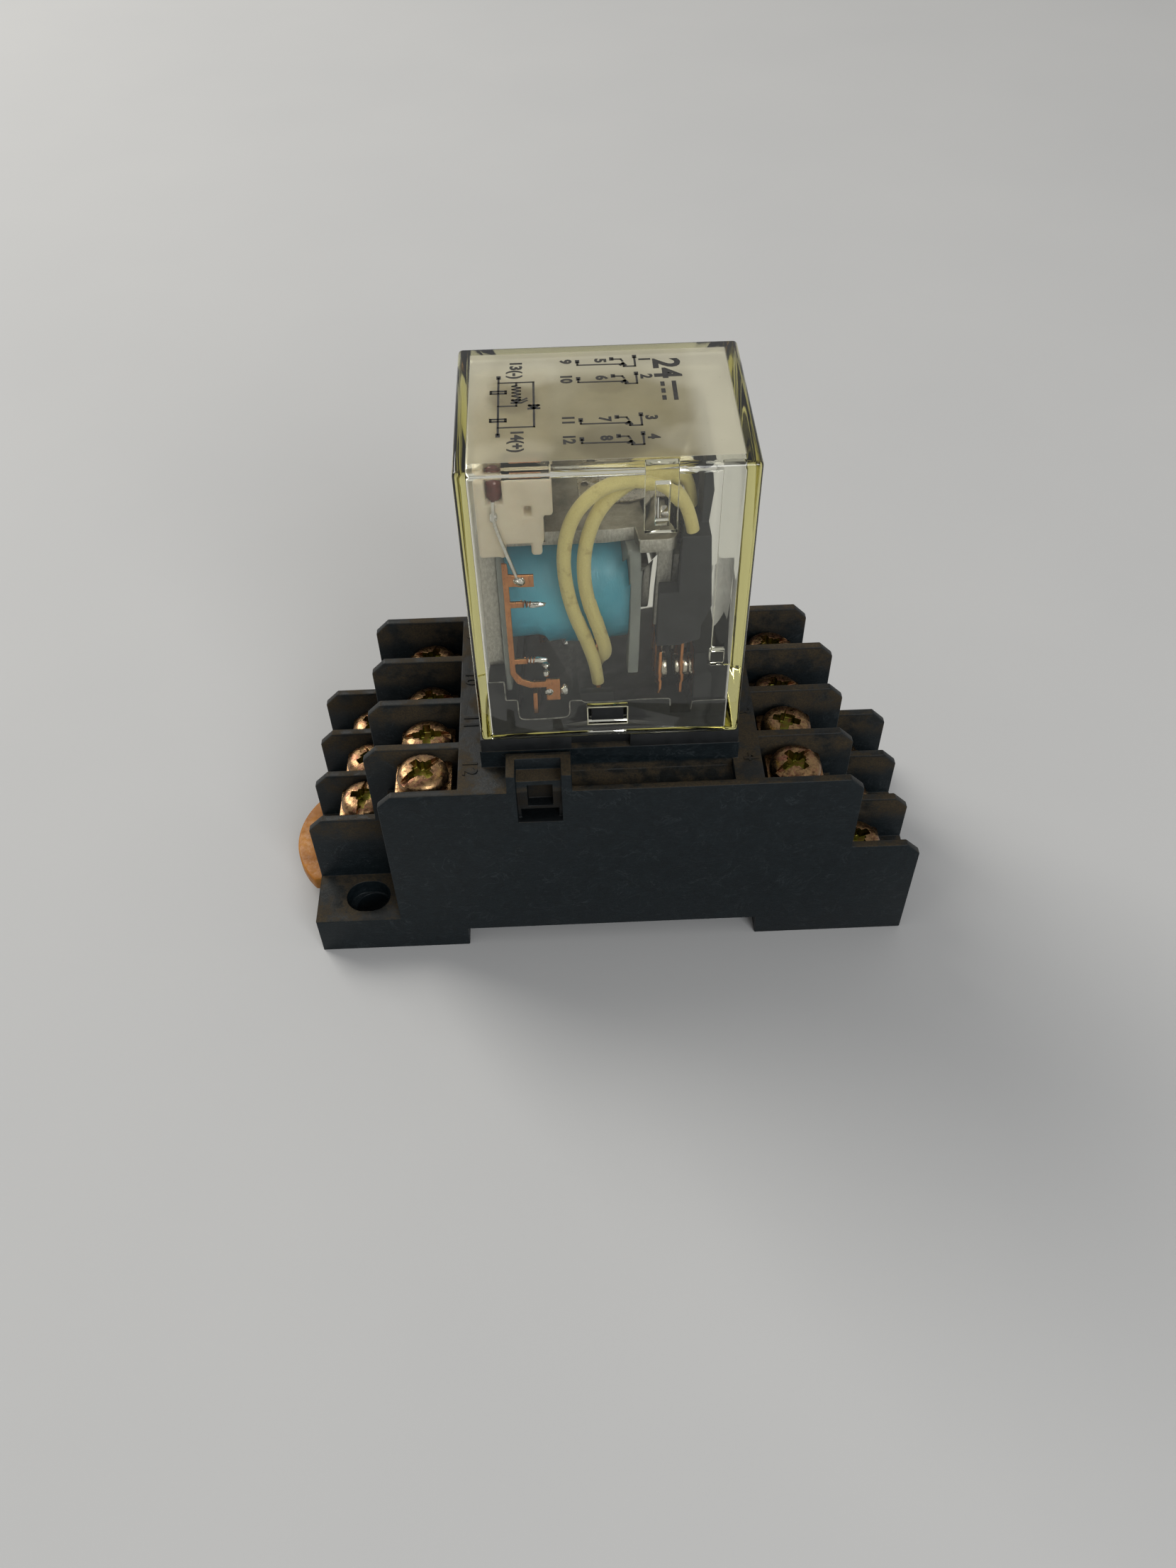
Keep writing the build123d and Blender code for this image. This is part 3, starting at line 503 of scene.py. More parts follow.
def smooth(mesh, sharp_angle=40):
    """Smooth shading, except over edges sharper than an angle."""
    mesh.shade_smooth()
    mesh.set_sharp_from_angle(angle=math.radians(sharp_angle))


def clean_copy(node):
    """A CAD node's shape with its flat faces joined up."""
    mesh = frame["nodes"][node].data.copy()
    shape = bmesh.new()
    shape.from_mesh(mesh)
    bmesh.ops.remove_doubles(shape, verts=shape.verts, dist=0.002 * MM)
    bmesh.ops.dissolve_limit(shape, angle_limit=math.radians(0.5), verts=shape.verts, edges=shape.edges)
    shape.to_mesh(mesh)
    shape.free()
    mesh.materials.clear()
    return mesh


def round_edges(piece, width, segments=2, angle=SHARP, clamp=True):
    """Rounds a piece's sharp edges; clamp keeps the rounding from running over a neighbouring edge."""
    edge = piece.modifiers.new("edges", "BEVEL")
    edge.width = width * MM
    edge.segments = segments
    edge.limit_method = "ANGLE"
    edge.angle_limit = math.radians(angle)
    edge.use_clamp_overlap = clamp
    settle(piece)


def soften(node, width):
    """A CAD node with its sharp edges rounded to a radius of width millimetres."""
    slot = SLOT_OF[node]
    piece = place(clean_copy(node), node + "_rounded", slot, BODY_OF[node], slot, [node])
    round_edges(piece, width, clamp=False)
    smooth(piece.data)


# ------------------------------------------------------------------ rounded CAD pieces

EDGE_RADIUS = {
    "socket_housing": 0.13, "socket_bottom_cover": 0.15, "rail_latch": 0.25, "rail_latch_spring": 0.1,
    "nc_terminals": 0.05, "no_terminals": 0.05, "com_terminals": 0.08, "coil_terminals": 0.08,
    "fixed_contacts": 0.12, "moving_contacts": 0.12, "moving_springs": 0.04, "contact_carrier": 0.14,
    "armature": 0.15, "yoke": 0.15, "core": 0.15, "bobbin": 0.14, "return_spring": 0.04,
    "indicator_holder": 0.3, "link_strips": 0.05, "contact_strips_upper": 0.07, "contact_strips_lower": 0.07,
    "diode": 0.12,
}
for node, radius in EDGE_RADIUS.items():
    soften(node, radius)
for number in range(1, 15):
    soften(f"terminal_washer_{number:02d}", 0.1)


# ------------------------------------------------------------------ meshes drawn here


def mesh_of(name, shape):
    mesh = bpy.data.meshes.new(name)
    shape.to_mesh(mesh)
    shape.free()
    return mesh


def box_mesh(low, high, radius=0.0, segments=3):
    """A box between two corners in millimetres, with every edge rounded when a radius is given."""
    shape = bmesh.new()
    made = bmesh.ops.create_cube(shape, size=1.0)
    low, high = Vector(low), Vector(high)
    for vertex in made["verts"]:
        spread = Vector(vertex.co[axis] * (high - low)[axis] for axis in range(3))
        vertex.co = ((low + high) / 2 + spread) * MM
    if radius:
        bmesh.ops.bevel(
            shape, geom=shape.edges[:], offset=radius * MM, segments=segments, profile=0.5, affect="EDGES"
        )
    return mesh_of("block", shape)


def lathe(profile, steps=48):
    """A closed turned shape: profile is (radius, height) from the axis at the top round to the axis again."""
    shape = bmesh.new()
    rings = []
    for radius, height in profile:
        if radius == 0:
            rings.append([shape.verts.new((0, 0, height * MM))])
            continue
        turns = [2 * math.pi * step / steps for step in range(steps)]
        rings.append([
            shape.verts.new((radius * MM * math.cos(a), radius * MM * math.sin(a), height * MM))
            for a in turns
        ])
    for upper, lower in zip(rings, rings[1:]):
        for step in range(steps):
            after = (step + 1) % steps
            corners = [upper[step % len(upper)], lower[step % len(lower)], lower[after % len(lower)],
                       upper[after % len(upper)]]
            shape.faces.new(list(dict.fromkeys(corners)))
    bmesh.ops.recalc_face_normals(shape, faces=shape.faces)
    return mesh_of("turned", shape)


def cut(piece, cutters, operation="DIFFERENCE"):
    """Cuts meshes out of a piece, or joins them to it."""
    helpers = []
    for number, mesh in enumerate(cutters):
        helper = bpy.data.objects.new(f"cutter_{number}", mesh)
        bpy.context.scene.collection.objects.link(helper)
        step = piece.modifiers.new("cut", "BOOLEAN")
        step.object = helper
        step.operation = operation
        step.solver = "EXACT"
        helpers.append(helper)
    settle(piece)
    for helper in helpers:
        mesh = helper.data
        bpy.data.objects.remove(helper)
        bpy.data.meshes.remove(mesh)


def finish_faces(piece, chooser):
    """A second material on the faces that chooser picks."""
    for polygon in piece.data.polygons:
        if chooser(polygon):
            polygon.material_index = 1


# ------------------------------------------------------------------ terminal screws

# how each slot stands, in degrees: right upper, right lower, left upper, left lower, front to back
SLOT_ANGLE = [36, 70, 15, 20, 110, 50, 140, 40, 3, 12, 160, 82, 122, 60]
HEAD_HEIGHT, SLOT_DEPTH, CROSS_DEPTH = 2.0, 0.75, 1.35
HEAD_PROFILE = [(0, 2.0), (1.2, 1.99), (1.75, 1.94), (2.15, 1.84), (2.45, 1.67), (2.68, 1.42), (2.82, 1.12),
                (2.88, 0.8), (2.89, 0.35), (2.86, 0.14), (2.76, 0.02)]
THREAD_PITCH, THREAD_CREST, THREAD_ROOT = 0.5, 1.44, 1.18


def screw_profile(length):
    """Head, then a threaded shank with a tapered end."""
    profile = HEAD_PROFILE + [(THREAD_ROOT, 0.02)]
    depth = -0.3
    while depth > -length + 0.8:
        profile += [(THREAD_ROOT, depth), (THREAD_CREST, depth - 0.2), (THREAD_CREST, depth - 0.27)]
        depth -= THREAD_PITCH
    return profile + [(THREAD_ROOT, depth), (0.8, -length + 0.02), (0, -length + 0.02)]


def terminal_screw(number, angle):
    node = f"terminal_screw_{number:02d}"
    low, high = box_mm(node)
    seat = high.z - HEAD_HEIGHT
    piece = place(lathe(screw_profile(seat - low.z)), node + "_turned", "screw_zinc", BODY_OF[node],
                  SLOT_OF[node], [node])
    top = HEAD_HEIGHT + 0.5
    cutters = [
        box_mesh((-4, -0.42, HEAD_HEIGHT - SLOT_DEPTH), (4, 0.42, top), 0.06),
        box_mesh((-1.62, -0.5, HEAD_HEIGHT - CROSS_DEPTH), (1.62, 0.5, top), 0.16),
        box_mesh((-0.46, -1.62, HEAD_HEIGHT - CROSS_DEPTH), (0.46, 1.62, top), 0.16),
        box_mesh((-0.85, -0.85, HEAD_HEIGHT - CROSS_DEPTH), (0.85, 0.85, top), 0.2),
    ]
    cut(piece, cutters)
    piece.data.materials.append(FINISHES["screw_recess"])
    round_edges(piece, 0.09, 3, 30)
    turn = Matrix.Rotation(math.radians(angle), 4, "Z")
    middle = Vector(((low.x + high.x) / 2, (low.y + high.y) / 2, seat)) * MM

    def inside(polygon):
        spot = polygon.center / MM
        return 0.55 < spot.z < 1.55 and spot.to_2d().length < 1.7

    finish_faces(piece, inside)
    piece.data.transform(Matrix.Translation(middle) @ turn)
    smooth(piece.data, 32)


for number, slot_angle in enumerate(SLOT_ANGLE, start=1):
    terminal_screw(number, slot_angle)

# ------------------------------------------------------------------ clear cover

COVER_LOW, COVER_HIGH = box_mm("dust_cover")
WALL_LEFT, WALL_RIGHT, WALL_SIDE, WALL_TOP = 1.2, 1.4, 1.38, 1.2
COVER_LID = COVER_HIGH.z - 0.03             # the print lies on top of it
SKIRT_GAP = 0.07                            # for shading only: air under the wall turns light back inside it
WINDOW_X, WINDOW_Z = (-2.4, 2.0), (34.0, 36.7)      # snap windows in the front and back walls


def cover_mesh():
    """Rounded box, open below, with guides inside the front wall and a snap window in front and back."""
    low, high = COVER_LOW, COVER_HIGH
    shell = box_mesh((low.x, low.y, low.z - 3), (high.x, high.y, COVER_LID), 0.5, 5)
    cover = place(shell, "dust_cover_clear", "clear_cover", "relay", "clear_cover", ["dust_cover"])
    cut(cover, [
        box_mesh((low.x + WALL_LEFT, low.y + WALL_SIDE, low.z - 6),
                 (high.x - WALL_RIGHT, high.y - WALL_SIDE, COVER_LID - WALL_TOP), 0.3, 3),
        box_mesh((low.x - 1, low.y - 1, low.z - 9), (high.x + 1, high.y + 1, low.z + SKIRT_GAP)),
        box_mesh((WINDOW_X[0], low.y - 1, WINDOW_Z[0]), (WINDOW_X[1], high.y + 1, WINDOW_Z[1]), 0.12, 2),
    ])
    root, guide_top = low.y + 0.7, COVER_LID - 0.6
    cut(cover, [
        box_mesh((3.4, root, 58.5), (6.45, -8.62, guide_top), 0.12, 2),
        box_mesh((10.4, root, 41.5), (high.x - 0.8, -9.02, guide_top), 0.12, 2),
        box_mesh((10.4, root, 41.5), (11.8, -8.32, 43.2), 0.12, 2),
    ], "UNION")
    slot_start = low.y + WALL_SIDE - 0.3
    cut(cover, [box_mesh((4.3, slot_start, 59.4), (5.7, -8.0, 64.0), 0.1, 2)])
    round_edges(cover, 0.05, 2, 50)
    smooth(cover.data, 34)


cover_mesh()

BASE_GAP = 0.1                              # between the base and the inside of the cover
LUG_X, LUG_Z = (-1.9, 1.5), (34.4, 36.1)    # snap lugs, in the middle of the front and back
LUG_Y, LUG_HALF = 9.6, 0.65


def relay_base():
    """The moulded base, trimmed where it stands inside the cover, with its snap lugs."""
    low, high = COVER_LOW, COVER_HIGH
    left, right = low.x + WALL_LEFT + BASE_GAP, high.x - WALL_RIGHT - BASE_GAP
    front, back = low.y + WALL_SIDE + BASE_GAP, high.y - WALL_SIDE - BASE_GAP
    slot = SLOT_OF["relay_base"]
    copy = clean_copy("relay_base")
    piece = place(copy, "relay_base_rounded", "base_plastic", "relay", slot, ["relay_base"])
    bottom, top = low.z + 0.02, 50
    cut(piece, [
        box_mesh((low.x - 1, low.y - 1, bottom), (left, high.y + 1, top)),
        box_mesh((right, low.y - 1, bottom), (high.x + 1, high.y + 1, top)),
        box_mesh((low.x - 1, low.y - 1, bottom), (high.x + 1, front, top)),
        box_mesh((low.x - 1, back, bottom), (high.x + 1, high.y + 1, top)),
    ])
    lugs = [
        box_mesh((LUG_X[0], y - LUG_HALF, LUG_Z[0]), (LUG_X[1], y + LUG_HALF, LUG_Z[1]))
        for y in (LUG_Y, -LUG_Y)
    ]
    cut(piece, lugs, "UNION")
    round_edges(piece, 0.12)
    smooth(piece.data)


relay_base()

# ------------------------------------------------------------------ lead wires

WIRE_RADIUS = 0.7
OUTER_ROUTE = [
    (-1.0, -6.6, 38.2), (-1.2, -7.0, 40.6), (-2.3, -8.0, 45.0), (-3.9, -8.4, 50.6), (-4.35, -8.4, 56.0),
    (-3.1, -7.95, 60.4), (0.1, -7.3, 62.9), (4.1, -7.1, 63.1), (7.3, -7.3, 60.9), (8.0, -7.45, 57.45),
]
INNER_ROUTE = [
    (-0.9, -2.4, 38.4), (-0.8, -4.0, 39.9), (-0.1, -7.4, 42.6), (-1.1, -8.4, 46.8), (-2.3, -8.4, 51.8),
    (-2.2, -8.2, 56.6), (-0.6, -7.2, 60.4), (2.4, -5.7, 61.9), (5.4, -4.4, 62.2), (7.6, -3.4, 60.6),
    (8.0, -2.9, 57.45),
]


def tube_mesh(points, radius, steps=6):
    """A smooth round wire along a route's points, in millimetres."""
    curve = bpy.data.curves.new("wire", "CURVE")
    curve.dimensions = "3D"
    curve.bevel_depth = radius * MM
    curve.bevel_resolution = steps
    curve.resolution_u = 10
    curve.use_fill_caps = True
    line = curve.splines.new("NURBS")
    line.points.add(len(points) - 1)
    for made, point in zip(line.points, points):
        made.co = (*(c * MM for c in point), 1)
    line.order_u = 3
    line.use_endpoint_u = True
    drawn = bpy.data.objects.new("wire", curve)
    bpy.context.scene.collection.objects.link(drawn)
    bpy.context.view_layer.update()
    mesh = bpy.data.meshes.new_from_object(drawn.evaluated_get(bpy.context.evaluated_depsgraph_get()))
    bpy.data.objects.remove(drawn)
    bpy.data.curves.remove(curve)
    smooth(mesh)
    return mesh


for row, route in (("outer", OUTER_ROUTE), ("inner", INNER_ROUTE)):
    for side, flip in (("front", 1), ("back", -1)):
        node = f"lead_wire_{side}_{row}"
        mesh = tube_mesh([(x, flip * y, z) for x, y, z in route], WIRE_RADIUS, 8)
        wire = place(mesh, node + "_sleeve", "wire_insulation", None, SLOT_OF[node], [node])
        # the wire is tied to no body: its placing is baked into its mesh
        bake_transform(wire)

# ------------------------------------------------------------------ solder, leads and small parts inside


def blob(name, spot, size, seed):
    """An uneven bead about a point, in millimetres."""
    shape = bmesh.new()
    bmesh.ops.create_icosphere(shape, subdivisions=4, radius=0.5)
    for vertex in shape.verts:
        swell = 1 + 0.22 * noise.noise(vertex.co * 3.1 + Vector((seed * 7.3, seed * 1.7, seed)))
        vertex.co = Vector(spot[axis] + vertex.co[axis] * size[axis] * swell for axis in range(3)) * MM
    piece = place(mesh_of(name, shape), name, "solder", "relay", "tinned_wire")
    piece.data.shade_smooth()


STRIP_FRONT = -9.15
SOLDER_BEADS = [
    ((-8.55, STRIP_FRONT, 53.35), (1.3, 0.5, 1.0)), ((-7.2, -8.95, 50.3), (2.1, 0.62, 0.72)),
    ((-7.4, -8.95, 42.85), (2.2, 0.62, 0.75)), ((-6.35, STRIP_FRONT, 38.4), (0.9, 0.4, 0.9)),
    ((-4.8, -8.9, 38.4), (0.75, 0.6, 1.5)), ((-6.6, -8.6, 41.8), (0.8, 0.8, 0.75)),
    ((-6.6, -8.6, 40.7), (0.75, 0.8, 0.9)),
]
for number, (spot, size) in enumerate(SOLDER_BEADS):
    blob(f"solder_bead_{number + 1}", spot, size, number)
COIL_END_RADIUS = 0.07
for number, z in enumerate((50.3, 42.85)):
    # coil ends wound over the strip's arms
    turns = [
        (-8.6 + 0.05 * step, -8.95 + 0.3 * math.sin(step), z + 0.42 * math.cos(step)) for step in range(22)
    ]
    mesh = tube_mesh(turns, COIL_END_RADIUS, 3)
    place(mesh, f"coil_end_{number + 1}", "winding_copper", "relay", "winding_copper")

# Thin pale lines along the edges of the base and of the snap windows. They are not parts of the object: they
# stand in for the light that those edges catch. The armature keepers are real, but only this model has them.
BASE_EDGE_RADIUS, WINDOW_EDGE_RADIUS = 0.07, 0.065
BASE_EDGE_Y, WINDOW_EDGE_Y = 9.17, 10.58
KEEPER_X, KEEPER_Y, KEEPER_Z = (5.0, 6.2), (5.3, 6.7), (57.22, 58.45)
BASE_EDGES = {
    "left": [(-12.5, 40.2), (-11.0, 40.2), (-10.9, 40.1), (-10.9, 37.6), (-10.8, 37.5), (-9.8, 37.5),
             (-9.67, 37.3), (-9.67, 35.2), (-9.5, 34.7), (-9.0, 34.5), (-5.0, 34.5), (-4.5, 34.7),
             (-4.3, 35.2), (-4.3, 36.8), (-4.1, 37.0), (-2.9, 37.0), (-2.6, 36.85), (1.6, 36.85),
             (2.1, 37.0), (6.3, 37.0), (6.5, 36.8), (6.5, 35.9)],
    "right": [(8.7, 35.3), (8.75, 36.2), (8.95, 36.5), (12.35, 36.5)],
}
WINDOW_EDGE = [(-2.32, 36.62), (-2.32, 34.1), (-2.3, 34.08), (1.9, 34.08), (1.92, 34.1), (1.92, 36.6),
               (1.9, 36.62), (-2.32, 36.62)]
for side_name, side in (("front", -1), ("back", 1)):
    for end, outline in BASE_EDGES.items():
        mesh = tube_mesh([(x, side * BASE_EDGE_Y, z) for x, z in outline], BASE_EDGE_RADIUS, 2)
        place(mesh, f"base_edge_{side_name}_{end}", "edge_highlight_paint", "relay", "base_plastic")
    mesh = tube_mesh([(x, side * WINDOW_EDGE_Y, z) for x, z in WINDOW_EDGE], WINDOW_EDGE_RADIUS, 3)
    place(mesh, f"window_edge_{side_name}", "window_highlight_paint", "relay", "clear_cover")
    low_y, high_y = sorted(side * y for y in KEEPER_Y)
    keeper = box_mesh((KEEPER_X[0], low_y, KEEPER_Z[0]), (KEEPER_X[1], high_y, KEEPER_Z[1]), 0.12, 3)
    smooth(keeper, 50)
    place(keeper, f"armature_keeper_{side_name}", "tinned_wire", "relay", "tinned_wire")

lead_path = [(-10.45, -8.95, 62.5), (-10.5, -9.0, 61.6), (-10.5, -8.98, 60.4), (-10.25, -8.95, 59.0),
             (-9.2, -8.95, 55.2), (-8.75, -9.0, 53.6), (-8.7, -9.0, 53.2)]
LEAD_RADIUS = 0.2
lead = tube_mesh(lead_path, LEAD_RADIUS, 5)
place(lead, "indicator_lead", "tinned_wire", "relay", "tinned_wire", ["component_leads"])
blob("lead_joint", (-10.5, -8.95, 60.75), (0.72, 0.5, 1.3), 9)

led_low, led_high = box_mm("led")
led_middle = (led_low + led_high) / 2
led_radius = (led_high.x - led_low.x) / 2
led_height = led_high.z - led_low.z
led_profile = [(0, led_height), (0.3 * led_radius, 0.985 * led_height)]
led_profile += [
    (led_radius * math.sin(math.radians(a)), led_height - led_radius * (1 - math.cos(math.radians(a))))
    for a in range(30, 91, 10)
]
led_foot = led_radius * 0.8
led_profile += [(led_radius, 0.35), (led_radius, 0.3), (led_foot, 0.25), (led_foot, 0), (0, 0)]
led_mesh = lathe(led_profile, 40)
led_mesh.transform(Matrix.Translation(Vector((led_middle.x, led_middle.y, led_low.z)) * MM))
smooth(led_mesh)
place(led_mesh, "indicator_lamp", "led_resin", "relay", "led_resin", ["led"])

tape_low, tape_high = box_mm("coil_tape")
TAPE_MIDDLE_Z = (tape_low.z + tape_high.z) / 2
TAPE_RADIUS = (tape_high.z - tape_low.z) / 2
TAPE_INSIDE = 6.45


def wound_tape():
    """Tape round the winding: faint ridges of the turns below, and a lapped end."""
    shape = bmesh.new()
    steps, stations = 160, 60
    rings = []
    for station in range(stations + 1):
        along = tape_low.x + (tape_high.x - tape_low.x) * station / stations
        edge = min(along - tape_low.x, tape_high.x - along)
        sag = 0.12 * math.exp(-edge / 0.5)
        ring = []
        for step in range(steps):
            turn = 2 * math.pi * step / steps
            lap = 0.05 if 3.5 < turn < 4.9 else 0.0
            ripple = 0.035 * noise.noise(Vector((along * 1.5, 3 * math.cos(turn), 3 * math.sin(turn))))
            radius = TAPE_RADIUS - 0.1 - sag + lap + ripple
            ring.append(shape.verts.new(
                Vector((along, radius * math.cos(turn), TAPE_MIDDLE_Z + radius * math.sin(turn))) * MM
            ))
        rings.append(ring)
    inner = []
    for station in (0, stations):
        centre_x = rings[station][0].co.x
        inner.append([
            shape.verts.new((
                centre_x, TAPE_INSIDE * MM * math.cos(a), TAPE_MIDDLE_Z * MM + TAPE_INSIDE * MM * math.sin(a)
            ))
            for a in (2 * math.pi * step / steps for step in range(steps))
        ])
    rings = [inner[0]] + rings + [inner[1]]
    for lower, upper in zip(rings, rings[1:] + rings[:1]):
        for step in range(steps):
            after = (step + 1) % steps
            shape.faces.new((lower[step], lower[after], upper[after], upper[step]))
    bmesh.ops.recalc_face_normals(shape, faces=shape.faces)
    mesh = mesh_of("tape", shape)
    smooth(mesh, 30)
    return mesh


place(wound_tape(), "coil_tape_wound", "coil_tape_blue", "relay", "coil_tape_blue", ["coil_tape"])

# ------------------------------------------------------------------ print and raised numerals

INK_Z, INK_THICKNESS = COVER_LID + 0.004, 0.014
INK_MIDDLE = INK_Z + INK_THICKNESS / 2
PRINT_WEIGHT = 0.065                        # how much the small numerals are thickened
FONT_SCALE = 1.38                           # the font's size over the height of its numerals


def lettering(text, size, spot, turn, depth, weight=0.0):
    """Numerals centred on a point: size and place in millimetres, standing depth high."""
    curve = bpy.data.curves.new("numerals", "FONT")
    curve.body = text
    curve.size = size * MM * FONT_SCALE
    curve.extrude = depth / 2 * MM
    curve.offset = weight * MM
    curve.align_x = "CENTER"
    curve.align_y = "CENTER"
    curve.resolution_u = 3
    drawn = bpy.data.objects.new("numerals", curve)
    bpy.context.scene.collection.objects.link(drawn)
    bpy.context.view_layer.update()
    mesh = bpy.data.meshes.new_from_object(drawn.evaluated_get(bpy.context.evaluated_depsgraph_get()))
    bpy.data.objects.remove(drawn)
    bpy.data.curves.remove(curve)
    mesh.transform(Matrix.Translation(Vector(spot) * MM) @ Matrix.Rotation(math.radians(turn), 4, "Z"))
    return mesh


def stroke(points, width):
    """A printed line of straight stretches with square ends."""
    shape = bmesh.new()
    for start, end in zip(points, points[1:]):
        start, end = Vector(start), Vector(end)
        along = (end - start).normalized() * width / 2
        across = Vector((-along.y, along.x))
        corners = [start - along - across, end + along - across, end + along + across, start - along + across]
        layers = [
            [shape.verts.new(Vector((c.x, c.y, INK_Z + lift)) * MM) for c in corners]
            for lift in (0, INK_THICKNESS)
        ]
        shape.faces.new(layers[0][::-1])
        shape.faces.new(layers[1])
        for index in range(4):
            after = (index + 1) % 4
            shape.faces.new((layers[0][index], layers[0][after], layers[1][after], layers[1][index]))
    return mesh_of("stroke", shape)


def joined(meshes, name):
    """Several meshes as one."""
    shape = bmesh.new()
    for mesh in meshes:
        shape.from_mesh(mesh)
        bpy.data.meshes.remove(mesh)
    return mesh_of(name, shape)


LINE, DOT = 0.2, 0.42
READ_TURN = -90                             # the print reads from back to front


def dot(x, y):
    return stroke([(x, y - DOT / 5), (x, y + DOT / 5)], DOT)


def contact_symbol(y, numbers):
    """One changeover contact with its three terminal numbers."""
    common, resting, working = numbers
    marks = [
        stroke([(-2.15, y), (-2.15, y - 0.55), (2.15, y - 0.6)], LINE),
        stroke([(1.25, y + 0.35), (2.1, y + 0.3), (2.25, y - 0.05)], LINE),
        stroke([(3.45, y + 0.6), (3.45, y - 1.05), (2.35, y - 1.05), (2.3, y - 0.65)], LINE),
        stroke([(2.05, y - 0.75), (2.3, y - 0.45), (2.5, y - 0.8)], LINE * 1.4),
        dot(-2.15, y + 0.1), dot(1.2, y + 0.4), dot(3.45, y + 0.7),
    ]
    for x, value in ((-3.35, common), (0.05, resting), (4.35, working)):
        marks.append(lettering(value, 1.1, (x, y + 0.15, INK_MIDDLE), READ_TURN, INK_THICKNESS, PRINT_WEIGHT))
    return marks


def coil_symbol():
    """Coil between its two terminals, with the lamp, its resistor and the diode across it."""
    zigzag = [(-8.1 + (0.35 if step % 2 else -0.35), 3.3 - 0.28 * step) for step in range(8)]
    return [
        stroke([(-9.8, 4.8), (-9.8, -4.8)], LINE),
        stroke([(-9.8, 3.95), (-6.46, 3.95), (-6.46, -3.65), (-9.8, -3.65)], LINE),
        stroke([(-9.8, -0.1), (-8.1, -0.1), (-8.1, 0.5)], LINE),
        stroke([(-8.1, 3.95), (-8.1, 3.45)] + zigzag + [(-8.1, 0.95)], LINE),
        stroke([(-8.45, 0.9), (-7.75, 0.9), (-8.1, 0.45), (-8.45, 0.9)], LINE * 1.3),
        stroke([(-8.5, 0.42), (-7.7, 0.42)], LINE * 1.3),
        stroke([(-7.55, 0.85), (-7.15, 1.15)], LINE), stroke([(-7.5, 0.5), (-7.1, 0.8)], LINE),
        stroke([(-6.85, -0.1), (-6.05, -0.1), (-6.46, -0.6), (-6.85, -0.1)], LINE * 1.5),
        stroke([(-6.9, -0.62), (-6.0, -0.62)], LINE * 1.5),
        dot(-9.8, 4.9), dot(-9.8, -4.9),
    ] + [
        stroke([(-10.5, y), (-10.5, y - 0.4), (-9.1, y - 0.4), (-9.1, y), (-10.5, y)], LINE * 1.2)
        for y in (2.5, -2.25)
    ] + [
        lettering(value, 1.15, (x, y, INK_MIDDLE), READ_TURN, INK_THICKNESS, PRINT_WEIGHT)
        for value, x, y in (("13(-)", -8.2, 6.2), ("14(+)", -8.1, -5.9))
    ]


def rating():
    """The voltage figure, with the direct current symbol in place of words."""
    marks = [lettering("24", 2.6, (6.35, 5.65, INK_MIDDLE), READ_TURN, INK_THICKNESS, 0.11)]
    marks.append(stroke([(6.95, 3.1), (6.95, 0.2)], 0.42))
    for y in (2.85, 1.65, 0.45):
        marks.append(stroke([(5.85, y + 0.18), (5.85, y - 0.18)], 0.4))
    return marks


ROWS = [
    (7.25, ("9", "5", "1")), (4.15, ("10", "6", "2")), (-2.95, ("11", "7", "3")), (-6.05, ("12", "8", "4")),
]
marks = coil_symbol() + rating()
for row_y, numbers in ROWS:
    marks += contact_symbol(row_y, numbers)
place(joined(marks, "top_print"), "top_print", "print_ink", "relay", "clear_cover")

DECK_Z, DECK_NUMERAL_X = 28.1, 15.6
HALF_WIDTH, BARRIER = 14.75, 0.95           # half the socket's width, and a wall between two terminals
BAY_PITCH = (2 * HALF_WIDTH - BARRIER) / 4
NUMERAL_Z = DECK_Z + 0.03
deck_numbers = [
    lettering(value, 1.7, (side * DECK_NUMERAL_X, BAY_PITCH * (bay - 1.5), NUMERAL_Z), READ_TURN, 0.14, 0.03)
    for side, values in ((-1, ("12", "11", "10", "9")), (1, ("4", "3", "2", "1")))
    for bay, value in enumerate(values)
]
place(joined(deck_numbers, "deck_numerals"), "deck_numerals", "socket_plastic", "socket", "socket_plastic")

for node, part in frame["nodes"].items():
    if not part.hide_render:
        part.data.materials.clear()
        part.data.materials.append(FINISHES[SLOT_OF[node]])

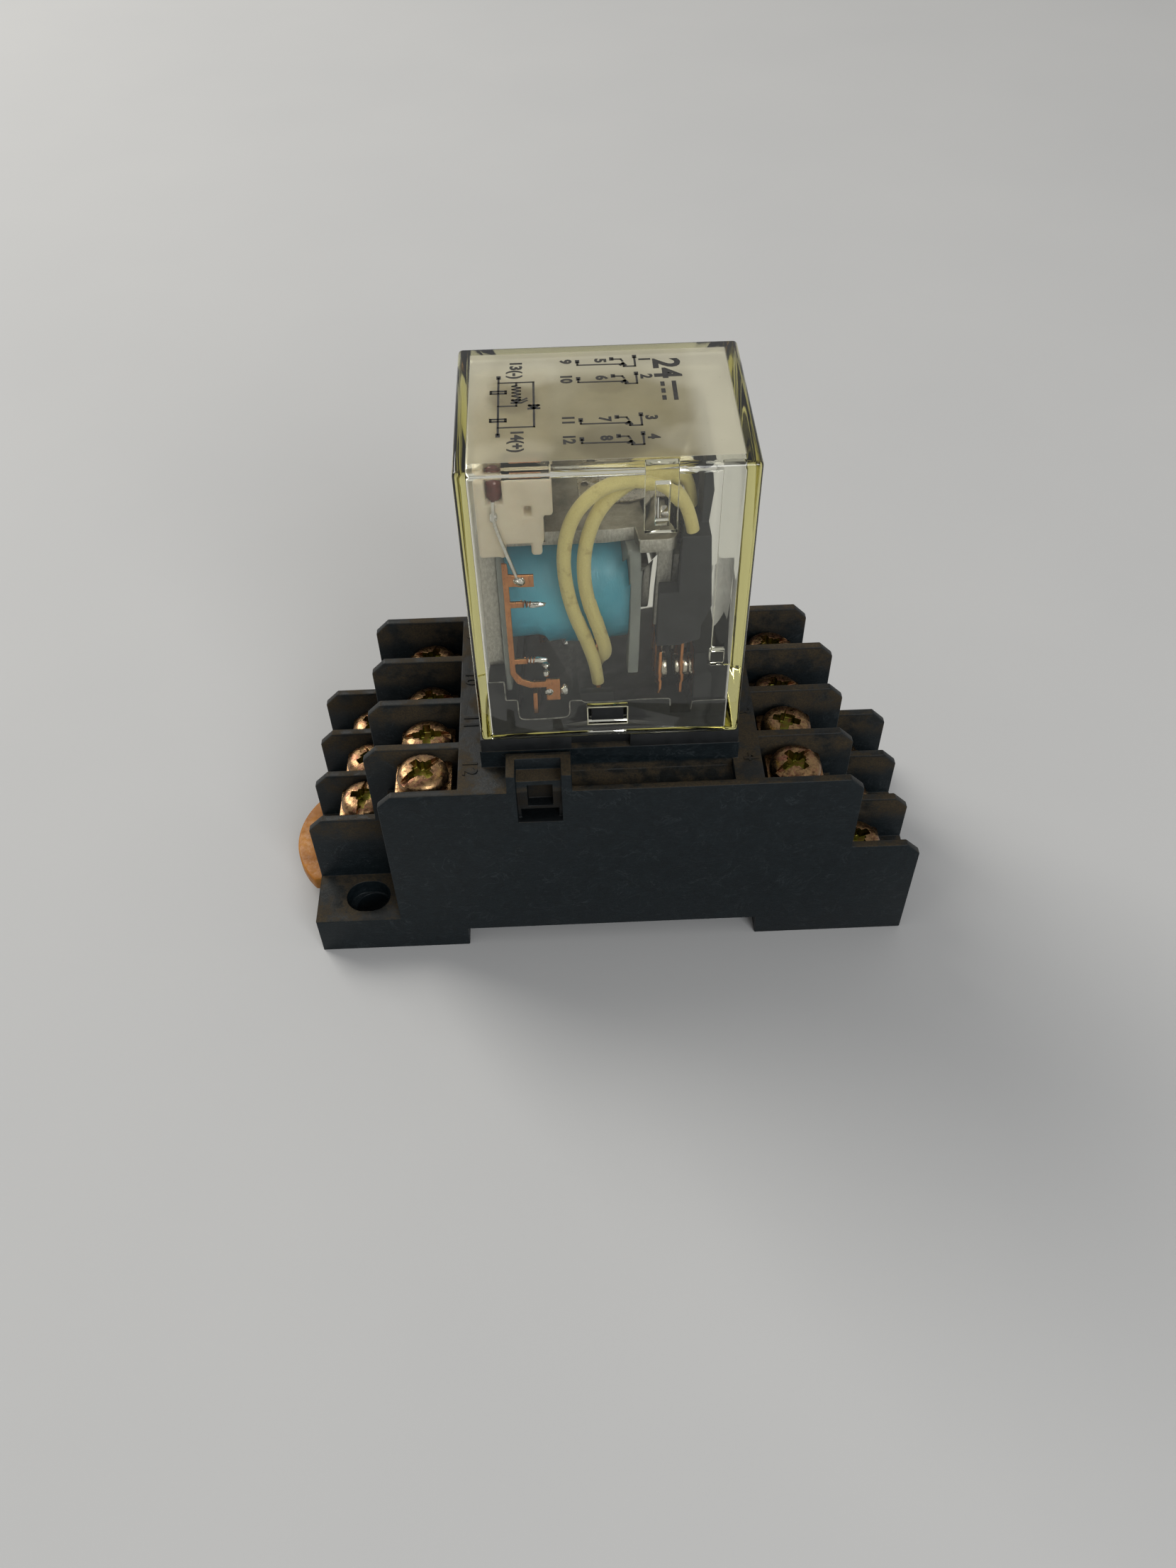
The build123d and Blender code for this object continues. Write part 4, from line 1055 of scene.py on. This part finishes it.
# ------------------------------------------------------------------ camera, floor and light

FLOOR_SIZE = 3.0
floor_mesh = bpy.data.meshes.new("floor")
half = FLOOR_SIZE / 2
floor_corners = [(-half, -half, 0), (half, -half, 0), (half, half, 0), (-half, half, 0)]
floor_mesh.from_pydata(floor_corners, [], [(0, 1, 2, 3)])
floor = bpy.data.objects.new("floor", floor_mesh)
floor_mesh.materials.append(FINISHES["floor_paint"])
bpy.context.scene.collection.objects.link(floor)

CAMERA_PLACE = Vector((-0.0043, -0.1061, 0.1322))
CAMERA_AIM = Vector((0.01243, 0.66340, -0.74816))
CAMERA_RIGHT = Vector((0.99913, -0.03820, -0.01670))
camera_data = bpy.data.cameras.new("camera")
camera_data.lens = 29.3
camera_data.clip_start = 0.005
camera = bpy.data.objects.new("camera", camera_data)
camera_up = CAMERA_RIGHT.cross(CAMERA_AIM)
camera.matrix_world = Matrix.Translation(CAMERA_PLACE) @ Matrix(
    (CAMERA_RIGHT, camera_up, -CAMERA_AIM)
).transposed().to_4x4()
bpy.context.scene.collection.objects.link(camera)
bpy.context.scene.camera = camera


def area_light(name, place_at, aim_at, size, power, color):
    """A soft square lamp."""
    data = bpy.data.lights.new(name, "AREA")
    data.size = size
    data.energy = power
    data.color = color
    lamp = bpy.data.objects.new(name, data)
    lamp.location = place_at
    lamp.rotation_euler = (Vector(aim_at) - Vector(place_at)).to_track_quat("-Z", "Y").to_euler()
    bpy.context.scene.collection.objects.link(lamp)


area_light("key", (-0.50, 0.42, 0.56), (0, 0.03, 0.03), 0.45, 5.2, (1.0, 0.98, 0.935))
area_light("front", (0.26, -0.56, 0.44), (0, 0, 0.035), 0.32, 2.3, (0.95, 0.97, 1.0))
world = bpy.data.worlds.new("studio")
world.use_nodes = True
world.node_tree.nodes["Background"].inputs["Color"].default_value = (0.90, 0.90, 0.90, 1)
world.node_tree.nodes["Background"].inputs["Strength"].default_value = 0.5
bpy.context.scene.world = world
bpy.context.scene.view_settings.view_transform = "Standard"
